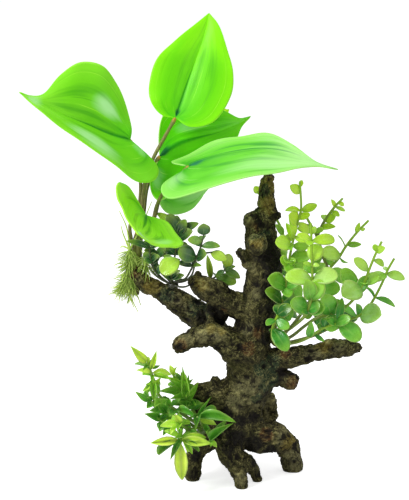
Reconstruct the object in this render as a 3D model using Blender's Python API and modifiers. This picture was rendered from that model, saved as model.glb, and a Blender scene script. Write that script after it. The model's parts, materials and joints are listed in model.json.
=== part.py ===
"""An aquarium plant on driftwood: a gnarled stump on its own roots, with four plants fixed to it.

Units: metres in Blender, millimetres in the tables. +Z is up and the front looks along +Y.
The origin is on the surface that the roots stand on, under the middle of the whole object.
"""

import math

import bmesh
import bpy
from mathutils import Quaternion, Vector, noise
from mathutils.bvhtree import BVHTree

MM = 0.001

# The front view: places are read in it as millimetres across and up, and a depth behind the trunk's foot.
SIGHT_TILT = math.radians(15.0)
SIGHT_DISTANCE = 1000.0
MIDDLE_ACROSS = -21.1
MIDDLE_BEHIND = 7.0
SIGHT_MIDDLE = (-28.4, 139.7)

# The gap that touching pieces keep, and the thickness of the leaves.
GAP = 0.3
BIG_LEAF_THICKNESS = 0.8
STALK_RADIUS = 1.1
STEM_RADIUS = 0.65
STALK_DROP = 1.3
STALK_STEP = 13.0
MOSS_STRAND_RADIUS = 1.2
LEAF_SWELL = 0.035

# Wood: distance between rings, sides of a limb (as bevel steps), and how lumpy its skin is.
RING_STEP = 8.5
LIMB_BEVEL_STEPS = 2
KNOB_STEP = 6.0
KNOB_BEVEL_STEPS = 1
LUMP_SHARE = 0.10
LUMP_SIZE = 11.0

# Each limb is a row of stations: across, up, behind, radius.
TRUNK = [
    (-4, 17, -3, 7.0), (-3, 22, -2, 11.4), (-3.5, 28, -1, 13.4), (-4.5, 35, 0, 12.8), (-5, 42, 1, 12.2),
    (-3.5, 50, 1, 13.0),
    (0, 58, 1, 14.5), (0, 66, 0, 14.6), (-0.5, 74, 0, 14.6), (0, 82, 0, 13.0), (2.5, 91, 0, 11.6),
    (3.5, 100, 1, 11.2), (5, 108, 1, 11.0),
]
SPIRE = [
    (4.5, 105, 1, 10.6), (6, 114, 2, 10.8), (7.5, 122, 2, 10.6), (9, 130, 2, 11.2), (8, 137, 2, 10.6),
    (6.5, 145, 1, 9.6), (6.5, 153, 1, 9.2), (8, 159.5, 1, 8.6), (10.5, 165, 2, 6.2), (10.4, 171, 2, 5.1),
    (10.2, 178, 3, 4.6), (11.6, 183.5, 3.5, 3.4), (13.2, 187.2, 4, 1.5),
]
LONG_ARM = [
    (-12, 79, 4, 7.0), (-20, 85.4, 7, 8.0), (-28, 92, 8, 8.5), (-36, 99, 7, 8.2), (-43, 105.2, 6, 7.3),
    (-50, 110.6, 5, 6.3), (-57, 115, 4, 5.4), (-65, 119.4, 2, 4.7), (-71, 124.2, 0, 4.0),
    (-73.6, 127.4, -1, 2.8),
]
SHORT_UPPER_BRANCH = [
    (4, 102, 0, 8.5), (-5, 105, -1, 8.6), (-14, 108.6, -2, 8.2), (-22, 113, -3, 7.6), (-29, 116.6, -4, 6.4),
    (-34.6, 119.4, -5, 4.4), (-37.4, 120.4, -6, 2.6),
]
MIDDLE_LEFT_BRANCH = [
    (0, 73, -4, 11.0), (-9, 79.6, -6, 11.0), (-17, 84.6, -8, 9.0), (-24, 87.6, -9, 7.0),
    (-31, 87.2, -10, 5.9),
    (-38, 84.8, -12, 5.0), (-43.5, 82.2, -13, 4.6), (-47.4, 79.6, -14, 2.8),
]
RIGHT_BRANCH = [
    (6, 69, -2, 8.5), (16, 71, -3, 7.8), (25, 73, -4, 6.2), (34, 75.2, -5, 5.3), (42, 77, -6, 4.9),
    (50, 78.6, -7, 5.0), (57, 79.5, -8, 5.1), (64, 79.4, -9, 4.0), (69, 79, -10, 1.9),
]
RIGHT_STUB = [
    (8, 60, -3, 8.0), (15, 60.5, -4, 6.2), (20.5, 60, -5, 5.2), (25, 58.4, -6, 4.4), (28.6, 56.2, -7, 2.6),
]
LOWER_LEFT_LIMB = [
    (-6, 46, 1, 10.5), (-14, 47.5, 1, 11.0), (-21, 48.4, 0, 9.4), (-28, 48.4, -1, 7.4), (-34, 49.2, -2, 5.6),
    (-39, 49.4, -3, 3.2),
]
LEFT_ROOT = [
    (-6, 33, -3, 9.0), (-14, 30, -4.5, 9.4), (-22, 25.4, -6, 8.2), (-29, 19, -8, 6.8), (-34, 12, -9.5, 5.6),
    (-35.6, 5.5, -10.5, 5.0), (-36, -1, -11, 4.9), (-36, -7, -11, 4.9),
]
FRONT_ROOT = [
    (-6, 29, -6, 9.5), (-12, 26, -8, 9.6), (-13.4, 18, -12.5, 9.0), (-11.6, 10, -17, 7.6),
    (-8.4, 3, -20, 5.9),
    (-6.6, -3, -22, 4.8), (-6, -9, -23, 4.2), (-6, -14, -23, 4.2),
]
FRONT_ROOT_PRONG = [
    (-9, 11, -16, 5.2), (-3.6, 8.4, -15, 5.4), (0.4, 4.6, -13.5, 4.7), (3.4, 0.4, -12, 4.0),
    (4.6, -2.4, -11, 3.3),
    (5, -7, -11, 3.3),
]
RIGHT_ROOT = [
    (-4, 26, -2, 9.5), (4, 24.2, -4, 9.8), (12, 23, -3, 9.0), (19, 21.6, 0, 8.2), (24, 16.2, 2, 7.5),
    (26.6, 10, 4, 7.0), (28, 4.6, 5.4, 6.2), (28.4, -3, 6, 5.6),
]
LOOP_ROOT = [
    (3, 47, 6, 3.4), (8, 47, 9, 3.3), (12.4, 45.4, 11, 3.1), (14.4, 41, 12, 2.9), (14, 36.4, 12, 3.0),
    (11.4, 32.4, 10, 3.3), (7, 29, 7, 3.6),
]
BACK_ROOT = [
    (-6, 32, 5, 8.5), (-10, 29, 13, 8.2), (-13, 24.6, 21, 7.0), (-14, 18.4, 28, 5.9), (-14, 12.4, 32, 5.2),
    (-14, 7, 34, 5.2), (-14, 2, 35, 5.2),
]
# Knobs and snags that the limbs carry, each a short row of stations.
SPIRE_KNOBS = [
    [(3.5, 160, -1, 4.0), (-0.4, 160.4, -3, 3.7), (-3.0, 160.6, -4, 2.0)],
    [(12, 161, -1, 3.6), (16.4, 161.6, -2, 3.1), (19, 161.8, -3, 1.7)],
    [(5.0, 145, -4, 6.4), (4.7, 145.2, -10, 6.0), (4.5, 145.6, -13, 3.4)],
    [(0, 130.4, -3, 3.2), (-3, 134.4, -5, 2.9), (-6, 138, -7, 2.6), (-7.6, 139.8, -8, 1.3)],
    [(10, 136, 8, 4.6), (11, 137, 14, 3.8), (11, 137.4, 16.5, 1.8)],
]
UPPER_BRANCH_KNOBS = [[(-30, 119, -4, 3.4), (-31.4, 124, -4, 2.6), (-32, 126.6, -4, 1.3)]]
MIDDLE_BRANCH_KNOBS = [[(-25, 90, -8, 2.6), (-24.8, 97, -4, 2.2), (-24.4, 101.4, -2, 2.4)]]
RIGHT_BRANCH_KNOBS = [[(53, 77, -7, 2.4), (53.6, 73.4, -7, 1.9), (53.8, 72.4, -7, 1.0)]]
LOWER_LIMB_KNOBS = [
    [(-21, 54, -1, 3.2), (-21.8, 58.6, -1, 2.6), (-22, 60.4, -1, 1.3)],
    [(-28, 44, -3, 5.0), (-32, 40.4, -4, 4.0), (-33.4, 38.2, -4, 2.0)],
]
TRUNK_KNOBS = [
    [(3, 73, 8, 6.0), (5, 75, 15, 5.0), (6, 76, 19, 2.4)],
    [(-8, 56, 8, 6.4), (-12, 58, 14, 4.6), (-13.4, 59, 17, 2.2)],
]

# The big-leaf plant. A leaf has its base, its ribs (one edge, the midrib, the other edge) and its tip.
CROWN = [
    (-71.8, 112, 6, 2.6), (-71.6, 122, 7, 3.3), (-71, 134, 7.4, 3.4), (-70, 146, 7, 3.0), (-69.4, 151, 7, 2.2),
]
BIG_LEAVES = {
    "big_leaf_top": (
        (-46.5, 222.4, 3),
        [
            ((-55, 224, 4), (-45.2, 226.4, 5.5), (-37, 216.6, -1)),
            ((-61.8, 232, 5), (-43, 233, 8.5), (-22, 220.3, 0)),
            ((-63, 243, 9), (-39.5, 243.5, 13), (-12, 235.5, 6)),
            ((-58.6, 258.5, 14), (-35, 256, 18), (-10.4, 250, 12)),
            ((-47.5, 270, 20), (-30.8, 267, 22.5), (-14, 264.5, 18.5)),
            ((-35, 280.2, 26), (-27.4, 278, 27), (-19, 279.5, 25)),
        ],
        (-25.5, 287.8, 31),
    ),
    "big_leaf_left": (
        (-75, 208.6, -2),
        [
            ((-58.5, 193, -2), (-77.5, 209.6, -3), (-74.2, 216, 0)),
            ((-59.5, 183.5, -8), (-84, 211.2, -5), (-77, 228, 4)),
            ((-70, 182.3, -14), (-92, 214, -8), (-83.5, 243.5, 6)),
            ((-84, 192.5, -19), (-101, 217.8, -11), (-92.5, 255, 5)),
            ((-101, 204.3, -23), (-110, 221.5, -14), (-106, 257, 1)),
            ((-116.5, 215.2, -25), (-119.5, 225.6, -17), (-118.5, 249, -5)),
            ((-130, 225.6, -25), (-130, 230.5, -20), (-128.5, 237.6, -15)),
            ((-137.5, 232, -24), (-137.6, 234.2, -22), (-137, 236, -20)),
        ],
        (-144.2, 238.3, -23),
    ),
    "big_leaf_right": (
        (-38, 192, -8),
        [
            ((-55, 180, -14), (-32, 194.5, -10), (-49, 194.5, 2)),
            ((-50, 171.5, -24), (-22, 198, -14), (-38, 199.4, 2)),
            ((-30, 177, -34), (-8, 200.5, -19), (-24, 207, -2)),
            ((-8, 184, -40), (8, 202, -24), (-6, 211, -8)),
            ((12, 187, -42), (22, 200, -29), (12, 212.6, -15)),
            ((29, 190, -41), (35, 196, -33), (27, 205.5, -24)),
            ((42, 191.4, -38), (44.5, 193, -36), (41, 195.2, -33)),
        ],
        (55, 190, -38),
    ),
    "big_leaf_middle": (
        (-56.5, 198.5, 8),
        [
            ((-62.5, 182, 4), (-52, 201.8, 9), (-56.8, 214, 15)),
            ((-57, 170.6, 0), (-44, 206.6, 12), (-53, 226, 21)),
            ((-40, 180, 3), (-32, 210, 15), (-42, 233, 26)), ((-22, 192, 9), (-20, 213, 19), (-28, 232, 29)),
            ((-9.5, 207.5, 18), (-9, 217.4, 24), (-16, 226.6, 30)),
            ((-5, 216.6, 26), (-4.6, 219.8, 28), (-7, 222.2, 31)),
        ],
        (0.5, 223.3, 33),
    ),
    "big_leaf_back": (
        (-52, 206, 26),
        [
            ((-46, 200, 24), (-47, 210, 33), (-56.4, 213, 30)),
            ((-36, 202, 36), (-40, 215, 44), (-50, 224, 44)),
            ((-24, 207, 50), (-30, 220, 57), (-38, 230, 58)),
            ((-16, 216, 62), (-21, 224.6, 66), (-25, 230, 68)),
        ],
        (-13, 227.4, 74),
    ),
    "big_leaf_low": (
        (-56.4, 177, 16),
        [
            ((-55.4, 169, 12), (-50, 179, 19), (-54, 186, 23)),
            ((-47.5, 162.6, 15), (-41, 181.6, 26), (-46, 194, 31)),
            ((-36, 165.2, 24), (-32, 183.6, 35), (-33, 194, 40)),
            ((-28, 175.4, 36), (-24.5, 184.5, 43), (-24, 190, 46)),
        ],
        (-18, 186, 52),
    ),
    "big_leaf_folded": (
        (-65, 161.4, -9),
        [
            ((-76.5, 178.5, -8), (-65.4, 158.5, -18), (-52, 157, -8)),
            ((-82.5, 181.8, -18), (-66, 156, -28), (-44.5, 148, -20)),
            ((-84, 176.5, -30), (-67, 153.6, -38), (-42, 143, -32)),
            ((-80.5, 166.5, -42), (-68, 151.6, -47), (-49, 141.4, -43)),
            ((-75, 156.5, -52), (-69, 150.4, -54), (-59, 142.4, -52)),
        ],
        (-70, 149.6, -60),
    ),
}
# A stalk runs from the crown to its leaf: its start on the crown and the places it passes.
LEAF_STALKS = {
    "big_leaf_top": [(-68.6, 153, 4.4), (-67.4, 168, 1), (-65.4, 182, -1), (-60.4, 197, 0), (-54, 209, 2)],
    "big_leaf_left": [(-70.6, 153.4, 6.8), (-69, 168, 5), (-68.4, 182, 6), (-71, 197, 6)],
    "big_leaf_right": [(-67.2, 150, 5), (-62.4, 157, 0), (-58.4, 168, -4), (-52.4, 178, -7), (-44, 186, -8)],
    "big_leaf_middle": [(-68.6, 153.4, 9), (-66, 168, 8), (-64, 182, 9)],
    "big_leaf_back": [(-67, 151, 10.6), (-62, 166, 14), (-60, 182, 19)],
    "big_leaf_low": [(-66, 149, 8.4), (-61, 158, 10), (-57.4, 166, 14)],
    "big_leaf_folded": [(-72.4, 150, 4), (-72.6, 155, -2), (-69.4, 159.4, -8)],
}

# A sprig has its stems and its leaves. A leaf is its base across and up, its tip across, up and behind,
# its width, and its roll in degrees.
LIGHT_SHRUB_FOOT = (17.2, 82.5, -3)
LIGHT_SPRIGS = {
    "tall": (
        [[(15.6, 86, -6), (16.6, 95, -10), (20, 106, -13), (22.4, 116, -14), (24, 130, -13), (26.4, 143, -12),
          (30, 158, -10), (32, 166, -9), (31.2, 182.5, -9)]],
        [
            (22, 117, 10.8, 121.6, -21, 9.5, 0), (22.4, 116, 33, 113, -7, 9, 0),
            (20, 106, 10.4, 114.6, -19, 9, 20),
            (19.6, 104, 26, 97, -9, 7, 0), (24.4, 132, 18.8, 134, -17, 6, 0), (24.2, 131, 35, 128, -7, 8, 0),
            (26.2, 142, 15.6, 144.4, -16, 8.5, 0), (26.4, 142.6, 37, 142, -8, 5, 30),
            (27.4, 148, 25, 160, -15, 4, 20),
            (30, 157, 24, 161.6, -15, 8, 0), (30, 158, 34.6, 152, -6, 5, 0),
            (31.8, 165, 22, 166.4, -11, 4, 20),
            (32, 165, 42, 168, -8, 4.4, 20), (31.6, 175, 25, 180.4, -10, 6, 0),
        ],
    ),
    "front": (
        [[(18.4, 86, -7), (27, 92, -16), (34.6, 99, -22), (38.4, 109, -24), (39, 122, -24), (38.6, 136, -23),
          (38.4, 147, -22), (38, 156.6, -21)]],
        [
            (38.4, 108, 35, 121.4, -29, 7.5, 0), (38.4, 108.4, 44.8, 121, -27, 9.4, 0),
            (39, 121, 22.4, 123.2, -28, 9, 0),
            (39, 121.4, 55, 124, -24, 9, 0), (38.6, 132, 42.4, 141.4, -18, 8.4, 0),
            (38.4, 145, 52.4, 148, -19, 5.4, 10), (38.4, 145, 29.4, 149.4, -22, 4.2, 0),
            (38.2, 149, 41, 154.4, -17, 3, 0), (36.4, 102, 26, 107.4, -29, 9.6, 0),
            (36.2, 101, 47, 104, -26, 8.6, 0),
        ],
    ),
    "rear": (
        [
            [(20.4, 86, 2), (30, 97, 7), (40, 112, 10), (49, 127, 10), (55, 134, 9), (60, 142, 8),
            (66, 151, 8),
             (73.6, 158.4, 8)],
            [(49, 127, 10), (46, 135, 13), (43, 145, 14), (40, 152, 15), (36, 159, 14), (33.4, 165.6, 13)],
            [(41.7, 148, 14.4), (47, 157, 15), (53, 166, 14), (58, 172, 13)],
        ],
        [
            (55.4, 134.4, 45.4, 138, 3, 9.4, 0), (55.6, 134.6, 61.4, 131.4, 13, 4, 70),
            (60, 142, 70, 141.4, 5, 4, 30),
            (60, 142, 55, 149, 14, 4, 75), (66, 151, 67, 157.4, 6, 3.6, 0), (69, 154, 73, 151.6, 9, 3, 60),
            (42, 116, 55, 114.6, 5, 8.4, 0), (36, 106, 46, 98, 14, 8, 0), (32, 100, 28, 110, 16, 8, 0),
            (49, 127, 60, 121, 16, 8, 0), (40, 151.4, 30, 153.4, 12, 5.6, 0), (43.4, 144, 52, 140, 20, 7, 0),
            (47.2, 157.4, 53.6, 160.6, 12, 5.4, 0), (46, 135, 38, 130, 20, 7, 0),
        ],
    ),
    "right": (
        [[(20.8, 84, -5), (38, 88, -10), (52, 96, -12), (62, 106, -11), (70, 116, -9), (74, 126, -8),
        (78, 136, -7),
          (82.4, 145, -7)]],
        [
            (70, 116, 57.8, 112, -18, 11.4, 0), (68.6, 114.6, 59, 120.6, -6, 6.5, 0),
            (71, 118, 80.4, 124, -4, 6.4, 0),
            (74.4, 127, 65, 134.4, -10, 6.4, 0), (75, 129, 84, 131, -3, 4.6, 0),
            (79, 138, 84.8, 141, -10, 4.4, 0),
            (79, 138, 77.8, 143.4, -4, 3.4, 0), (62, 106, 71, 100, -5, 7, 0),
            (52, 96, 46.4, 111, -18, 10.5, 0),
            (53, 97, 50, 88.4, -17, 8.4, 0),
        ],
    ),
    "far_right": (
        [[(21.4, 82.4, 0), (40, 88, 0), (56, 94, 0), (68, 98.4, -1), (74, 104, -1), (78, 110, 0),
        (82, 119, 1),
          (86, 127, 2), (90.2, 134.4, 2)]],
        [
            (69, 99, 82.4, 99, -10, 11.6, 0), (67, 98, 56, 104.4, -5, 6, 30),
            (78, 109.6, 91, 103.4, -3, 5, 10),
            (78, 110, 72, 116.4, 7, 4, 70), (84.6, 125, 74.8, 121, -3, 6, 0), (85, 125, 97, 121, 0, 5.6, 0),
            (87.6, 130, 84, 133.6, 5, 3, 0), (56, 94, 66, 100, 12, 8, 0), (46, 90, 42, 99, 10, 7, 0),
        ],
    ),
    "low": (
        [[(20.4, 82, -8), (29, 83.4, -13), (37, 87, -16), (46, 92.4, -17), (55, 94, -16)]],
        [
            (55, 94, 69, 83, -22, 9.8, 0), (54, 94, 63, 97.4, -21, 6, 0), (46, 92.4, 48, 98, -23, 5, 0),
            (37, 87, 38.4, 95.4, -22, 5.4, 0), (30, 84, 27, 93, -19, 5.5, 20),
        ],
    ),
    "near_trunk": (
        [[(14, 84.4, -10), (14.4, 92, -15), (17.4, 99, -18)]],
        [(14.6, 91, 23.4, 76.4, -23, 8.4, 0), (16, 96, 24.6, 91, -22, 6, 20),
        (17.2, 98.4, 26, 104.4, -22, 7, 0)],
    ),
    "behind_spire": (
        [[(17, 86, 6), (20, 100, 14), (22.6, 125, 19), (21, 148, 20), (16.6, 159, 20.6), (9.4, 170, 22),
        (4.4, 176.4, 22)]],
        [
            (5.4, 175, 2.6, 179.4, 22, 4.6, 0), (21, 147, 27.4, 147, 18, 5, 0),
            (22.4, 127, 14, 134, 28, 8, 0),
            (22.2, 120, 32, 122, 25, 8, 0), (20.4, 104, 12, 110, 26, 8, 0), (20, 101, 30, 100, 24, 8, 0),
        ],
    ),
}

DARK_SHRUB_FOOT = (-48.4, 118.0, -0.5)
DARK_SPRIGS = {
    "right": (
        [[(-45.6, 121.4, -4), (-41, 122, -7), (-37.4, 127, -9), (-34, 134.4, -9), (-31, 141, -9),
        (-28.8, 149, -9)],
         [(-33.4, 136, -9), (-28.6, 137.6, -9), (-23, 138.4, -9)]],
        [
            (-28.8, 148.4, -29, 156.4, -12, 6.6, 0), (-29.4, 147, -38.4, 147.4, -12, 4.6, 0),
            (-30, 143, -18.6, 143.6, -10, 4.4, 10), (-24, 138.4, -14.4, 133.4, -11, 5.4, 10),
            (-33.6, 135.4, -44, 140, -13, 8.6, 0), (-36, 130, -44.4, 131.4, -11, 5, 20),
        ],
    ),
    "behind_branch": (
        [[(-45, 121, 2), (-38, 121, 7), (-30, 121.4, 8.4), (-24, 121.6, 7), (-18, 125.4, 6),
        (-14.6, 128.4, 5)]],
        [
            (-24, 121.8, -27.4, 136.4, 4, 4.2, 0), (-15, 128, -12.4, 138, 2, 7, 0),
            (-16, 127, -6, 122, 2, 4.4, 10),
            (-20.6, 123.4, -8.6, 119, 0, 6.8, 0), (-30, 121.4, -33, 128, 14, 5, 0),
        ],
    ),
    "upright": (
        [[(-48.6, 123.6, 1), (-47.6, 132, 3), (-46, 141, 4), (-44.4, 151, 4)]],
        [
            (-44.8, 148.6, -52, 162, 1, 7.6, 0), (-44.6, 150, -45, 162.6, 8, 5, 20),
            (-44.6, 150.4, -32.8, 155.8, 2, 4.6, 10),
            (-45, 146, -35.6, 151.6, -2, 6.4, 0), (-46, 141, -39, 143.4, 0, 5, 0),
            (-47, 136, -53, 142, 8, 6, 0),
        ],
    ),
    "near": (
        [[(-49.4, 121.4, -5.4), (-48.6, 127, -11), (-45, 133, -13)]],
        [(-45.2, 132.8, -55.4, 125, -17, 9.4, 0), (-45.6, 132, -40, 126.4, -16, 5, 0)],
    ),
    "left": (
        [[(-52.6, 121, -2), (-57.6, 126, -4), (-60.6, 134, -4), (-62.8, 142, -3), (-63, 148, -2)]],
        [
            (-62.6, 141, -76.6, 145.6, -10, 3.6, 0), (-60.4, 133, -66, 132, -8, 4.6, 0),
            (-60.6, 134, -57, 136.4, -9, 4, 0),
            (-62.8, 143, -58, 146, -6, 4, 0), (-57.6, 126, -53, 130, -8, 4, 0),
            (-60, 132, -66, 138.6, 1, 5, 0),
        ],
    ),
    "rear": (
        [[(-50.4, 122.6, 3), (-53, 131, 7), (-55, 139, 9)]],
        [(-54.8, 138, -60.6, 142, 6, 5.6, 0), (-55, 138.6, -50, 143, 12, 5.6, 0),
        (-53.4, 132.4, -58, 128.6, 14, 6, 0)],
    ),
}

NARROW_PLANT_FOOT = (-29.6, 27.4, -13)
NARROW_SPRIGS = {
    "star": (
        [[(-32.4, 28.6, -18), (-38, 27, -26), (-44, 21, -31)], [(-38, 27, -26), (-44, 31, -29)]],
        [
            (-44, 20.6, -42, -4.4, -34, 7.2, 0), (-44, 20.8, -62.4, 20, -33, 4.8, 0),
            (-43.6, 20.4, -24, 18.6, -31, 6.2, 10),
            (-43, 21.4, -26.8, 22.6, -27, 5, 10), (-44, 31, -47, 37.4, -30, 4.6, 0),
            (-44, 31, -56.4, 29.6, -30, 5, 0),
            (-44, 30, -50, 24.4, -34, 4, 20), (-42, 23, -56, 10.4, -24, 4.6, 0),
            (-41, 24, -49.4, 11, -20, 4, 0),
        ],
    ),
    "right": (
        [[(-30, 30.4, -17.4), (-31, 34, -23), (-33, 35, -28)]],
        [
            (-32.8, 35, -8.6, 32.2, -34, 6, 0), (-31.4, 34.4, -21, 30.4, -30, 5.6, 0),
            (-32, 34.6, -25, 47.4, -29, 2.4, 0),
        ],
    ),
    "trunk_side": (
        [[(-26.4, 26.4, -17), (-25, 23, -22), (-24.4, 20.4, -25)]],
        [(-24.4, 20.8, -10.8, 31.4, -32, 4.8, 0), (-24.6, 21, -20.6, 16.4, -27, 3, 0)],
    ),
    "long": (
        [[(-33, 31, -15), (-40.6, 38, -17), (-48, 48.6, -19), (-55, 58, -20), (-62.4, 68, -20)]],
        [
            (-61.6, 67, -74.4, 80.4, -24, 4.8, 0), (-61.4, 66.6, -72.4, 68.6, -17, 3, 30),
            (-60.6, 65.6, -74.6, 65.4, -22, 3, 30),
            (-61.8, 67.4, -63.6, 73, -16, 2.4, 0), (-59, 63.6, -58.4, 80, -18, 3.6, 20),
            (-56.6, 60.4, -60, 45.4, -25, 4.4, 0),
            (-57.4, 61, -67.4, 52, -22, 3.4, 0), (-52, 54, -45, 62.4, -24, 4, 0),
            (-50, 51.4, -57, 44, -24, 4, 0),
            (-46, 45.6, -49.6, 59, -23, 4.2, 0), (-44, 43, -50.4, 35.6, -23, 4.6, 0),
        ],
    ),
    "upright": (
        [[(-31.4, 32, -10), (-37, 42, -10), (-43, 52, -10), (-48, 62, -11)]],
        [
            (-47.6, 61.4, -43.8, 70.4, -12, 2.6, 0), (-47.8, 61.8, -53, 68, -8, 2.6, 0),
            (-44, 54, -46.4, 65.4, -4, 3, 30),
            (-40.4, 47.6, -42.6, 66.4, -13, 4.4, 0), (-44, 54, -56, 54.4, -13, 4, 20),
            (-38.4, 44.4, -32, 57, -6, 3.6, 0),
            (-36, 40, -45, 47.4, -6, 5, 0), (-41.6, 49.6, -37, 54, -2, 4, 0),
        ],
    ),
    "left": (
        [[(-34, 29, -11), (-42, 34, -10), (-50, 36.6, -10), (-57, 41, -10), (-62, 45.4, -10)]],
        [
            (-61.8, 45.2, -71.8, 51.4, -12, 4.2, 0), (-60, 43.6, -66.8, 37.6, -13, 4.6, 0),
            (-56, 40.4, -62, 52, -6, 4, 0),
            (-52, 37.8, -58.6, 44.4, -15, 6.4, 0), (-50, 36.6, -57, 31, -13, 4.2, 0),
            (-46, 35.6, -53, 26, -6, 4, 0),
            (-42, 34, -38, 26.4, -5, 4, 0),
        ],
    ),
}

# Moss at the crown: its body, and the tips that its strands reach.
MOSS_BODY = [(-77.4, 137, 2, 2.0), (-78.6, 131, 1, 3.8), (-78.4, 122, 1, 4.2), (-76.6, 114, 2, 2.2)]
MOSS_TIPS = [
    (-83, 137, 0), (-85, 130, 4), (-86.4, 112.6, 0), (-82, 108.6, -2), (-77, 106, 3), (-81, 141, 4),
    (-84.4, 122, -4), (-80, 120, -8), (-82, 118, 8),
]

# Half widths of a small leaf along its length, as (share of the length, share of the half width).
ROUND_LEAF_ROWS = ((0.16, 0.75), (0.5, 1.0), (0.84, 0.68))
OVAL_LEAF_ROWS = ((0.26, 0.9), (0.72, 0.86))
NARROW_LEAF_ROWS = ((0.28, 1.1), (0.64, 0.95))
NEEDLE_LEAF_ROWS = ((0.42, 1.15),)
ROUND_LEAF_WIDTH = 8.2
BROAD_NARROW_LEAF_WIDTH = 3.8
SMALL_LEAF_FOLD = 0.1
SMALL_LEAF_KEEL = 0.4
SMALL_LEAF_ARCH = 0.07
SMALL_LEAF_NECK = 0.4
STEM_STEP = 13.0

COLOURS = {
    "wood": ((0.105, 0.075, 0.035), 0.75),
    "big_leaf": ((0.13, 0.60, 0.012), 0.32),
    "stalk": ((0.10, 0.13, 0.02), 0.5),
    "moss": ((0.30, 0.45, 0.06), 0.8),
    "light_shrub": ((0.12, 0.42, 0.05), 0.4),
    "dark_shrub": ((0.02, 0.13, 0.07), 0.4),
    "narrow_plant": ((0.25, 0.55, 0.05), 0.4),
}


def clear_scene():
    """Remove what the new file holds."""
    for thing in list(bpy.data.objects):
        bpy.data.objects.remove(thing)


def new_collection(name):
    """Return a new collection in the scene."""
    collection = bpy.data.collections.new(name)
    bpy.context.scene.collection.children.link(collection)
    return collection


def new_material(name, finish):
    """Return a Principled material for one piece, from its finish's colour and roughness."""
    colour, roughness = COLOURS[finish]
    material = bpy.data.materials.new(name)
    material.use_nodes = True
    shader = material.node_tree.nodes["Principled BSDF"]
    shader.inputs["Base Color"].default_value = (*colour, 1.0)
    shader.inputs["Roughness"].default_value = roughness
    shader.inputs["Metallic"].default_value = 0.0
    return material


def seen(across, up, behind):
    """Return the place, in metres, that shows at a point of the front view and lies at a depth."""
    lean = math.sin(SIGHT_TILT)
    rise = math.cos(SIGHT_TILT)
    aim = Vector((SIGHT_MIDDLE[0], SIGHT_MIDDLE[1] * lean, SIGHT_MIDDLE[1] * rise))
    right = across - SIGHT_MIDDLE[0]
    above = up - SIGHT_MIDDLE[1]
    back = behind - aim.y
    reach = SIGHT_DISTANCE + back * rise
    climb = (above * reach / SIGHT_DISTANCE - back * lean) / (rise + above * lean / SIGHT_DISTANCE)
    spread = (reach - climb * lean) / SIGHT_DISTANCE
    place = Vector((aim.x + right * spread - MIDDLE_ACROSS, behind - MIDDLE_BEHIND, aim.z + climb))
    return place * MM


def smooth_route(stations, step):
    """Return places with their radii, as 4D points about a step apart, on a smooth curve through stations."""
    knots = [Vector((*seen(*station[:3]), station[3] * MM)) for station in stations]
    knots = [2 * knots[0] - knots[1], *knots, 2 * knots[-1] - knots[-2]]
    fine = []
    for before, start, end, after in zip(knots, knots[1:], knots[2:], knots[3:]):
        for share in (0.0, 0.25, 0.5, 0.75):
            linear = (end - before) * share
            square = (2 * before - 5 * start + 4 * end - after) * share**2
            cubic = (3 * start - before - 3 * end + after) * share**3
            fine.append(start + (linear + square + cubic) / 2)
    fine.append(knots[-2])
    lengths = [0.0]
    for start, end in zip(fine, fine[1:]):
        lengths.append(lengths[-1] + (end.xyz - start.xyz).length)
    count = max(2, round(lengths[-1] / (step * MM)))
    route = []
    index = 0
    for number in range(count + 1):
        distance = lengths[-1] * number / count
        while index < len(fine) - 2 and lengths[index + 1] < distance:
            index += 1
        share = (distance - lengths[index]) / (lengths[index + 1] - lengths[index])
        route.append(fine[index].lerp(fine[index + 1], share))
    return route


def place_mesh(name, mesh, collection):
    """Return a new object that shows a mesh, in a collection."""
    piece = bpy.data.objects.new(name, mesh)
    collection.objects.link(piece)
    return piece


def tube(name, route, bevel_steps, collection):
    """Return a closed round limb along a route of 4D points, made as a curve and turned into a mesh."""
    curve = bpy.data.curves.new(name, "CURVE")
    curve.dimensions = "3D"
    curve.bevel_depth = 1.0
    curve.bevel_resolution = bevel_steps
    curve.use_fill_caps = True
    spline = curve.splines.new("POLY")
    spline.points.add(len(route) - 1)
    for point, station in zip(spline.points, route):
        point.co = (station.x, station.y, station.z, 1.0)
        point.radius = station.w
    guide = place_mesh(name + "_guide", curve, collection)
    bpy.context.view_layer.update()
    mesh = bpy.data.meshes.new_from_object(guide.evaluated_get(bpy.context.evaluated_depsgraph_get()))
    bpy.data.objects.remove(guide)
    weld(mesh)
    return place_mesh(name, mesh, collection)


def weld(mesh):
    """Close a mesh's loose seams and turn its faces outwards."""
    shape = bmesh.new()
    shape.from_mesh(mesh)
    bmesh.ops.remove_doubles(shape, verts=shape.verts, dist=0.000005)
    bmesh.ops.recalc_face_normals(shape, faces=shape.faces)
    shape.to_mesh(mesh)
    shape.free()


def split_faces(piece):
    """Turn a piece's faces into triangles, so that its copies bend along the same lines."""
    shape = bmesh.new()
    shape.from_mesh(piece.data)
    bmesh.ops.triangulate(shape, faces=shape.faces)
    shape.to_mesh(piece.data)
    shape.free()


def combine(target, other, operation):
    """Join another closed piece to the target, or cut it away, and keep the result as the target's mesh."""
    modifier = target.modifiers.new(operation.title(), "BOOLEAN")
    modifier.operation = operation
    modifier.solver = "EXACT"
    modifier.object = other
    bpy.context.view_layer.update()
    mesh = bpy.data.meshes.new_from_object(target.evaluated_get(bpy.context.evaluated_depsgraph_get()))
    target.modifiers.remove(modifier)
    target.data = mesh


def join_on(target, other):
    """Join a closed piece to the target and remove it."""
    combine(target, other, "UNION")
    bpy.data.objects.remove(other)


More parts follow.
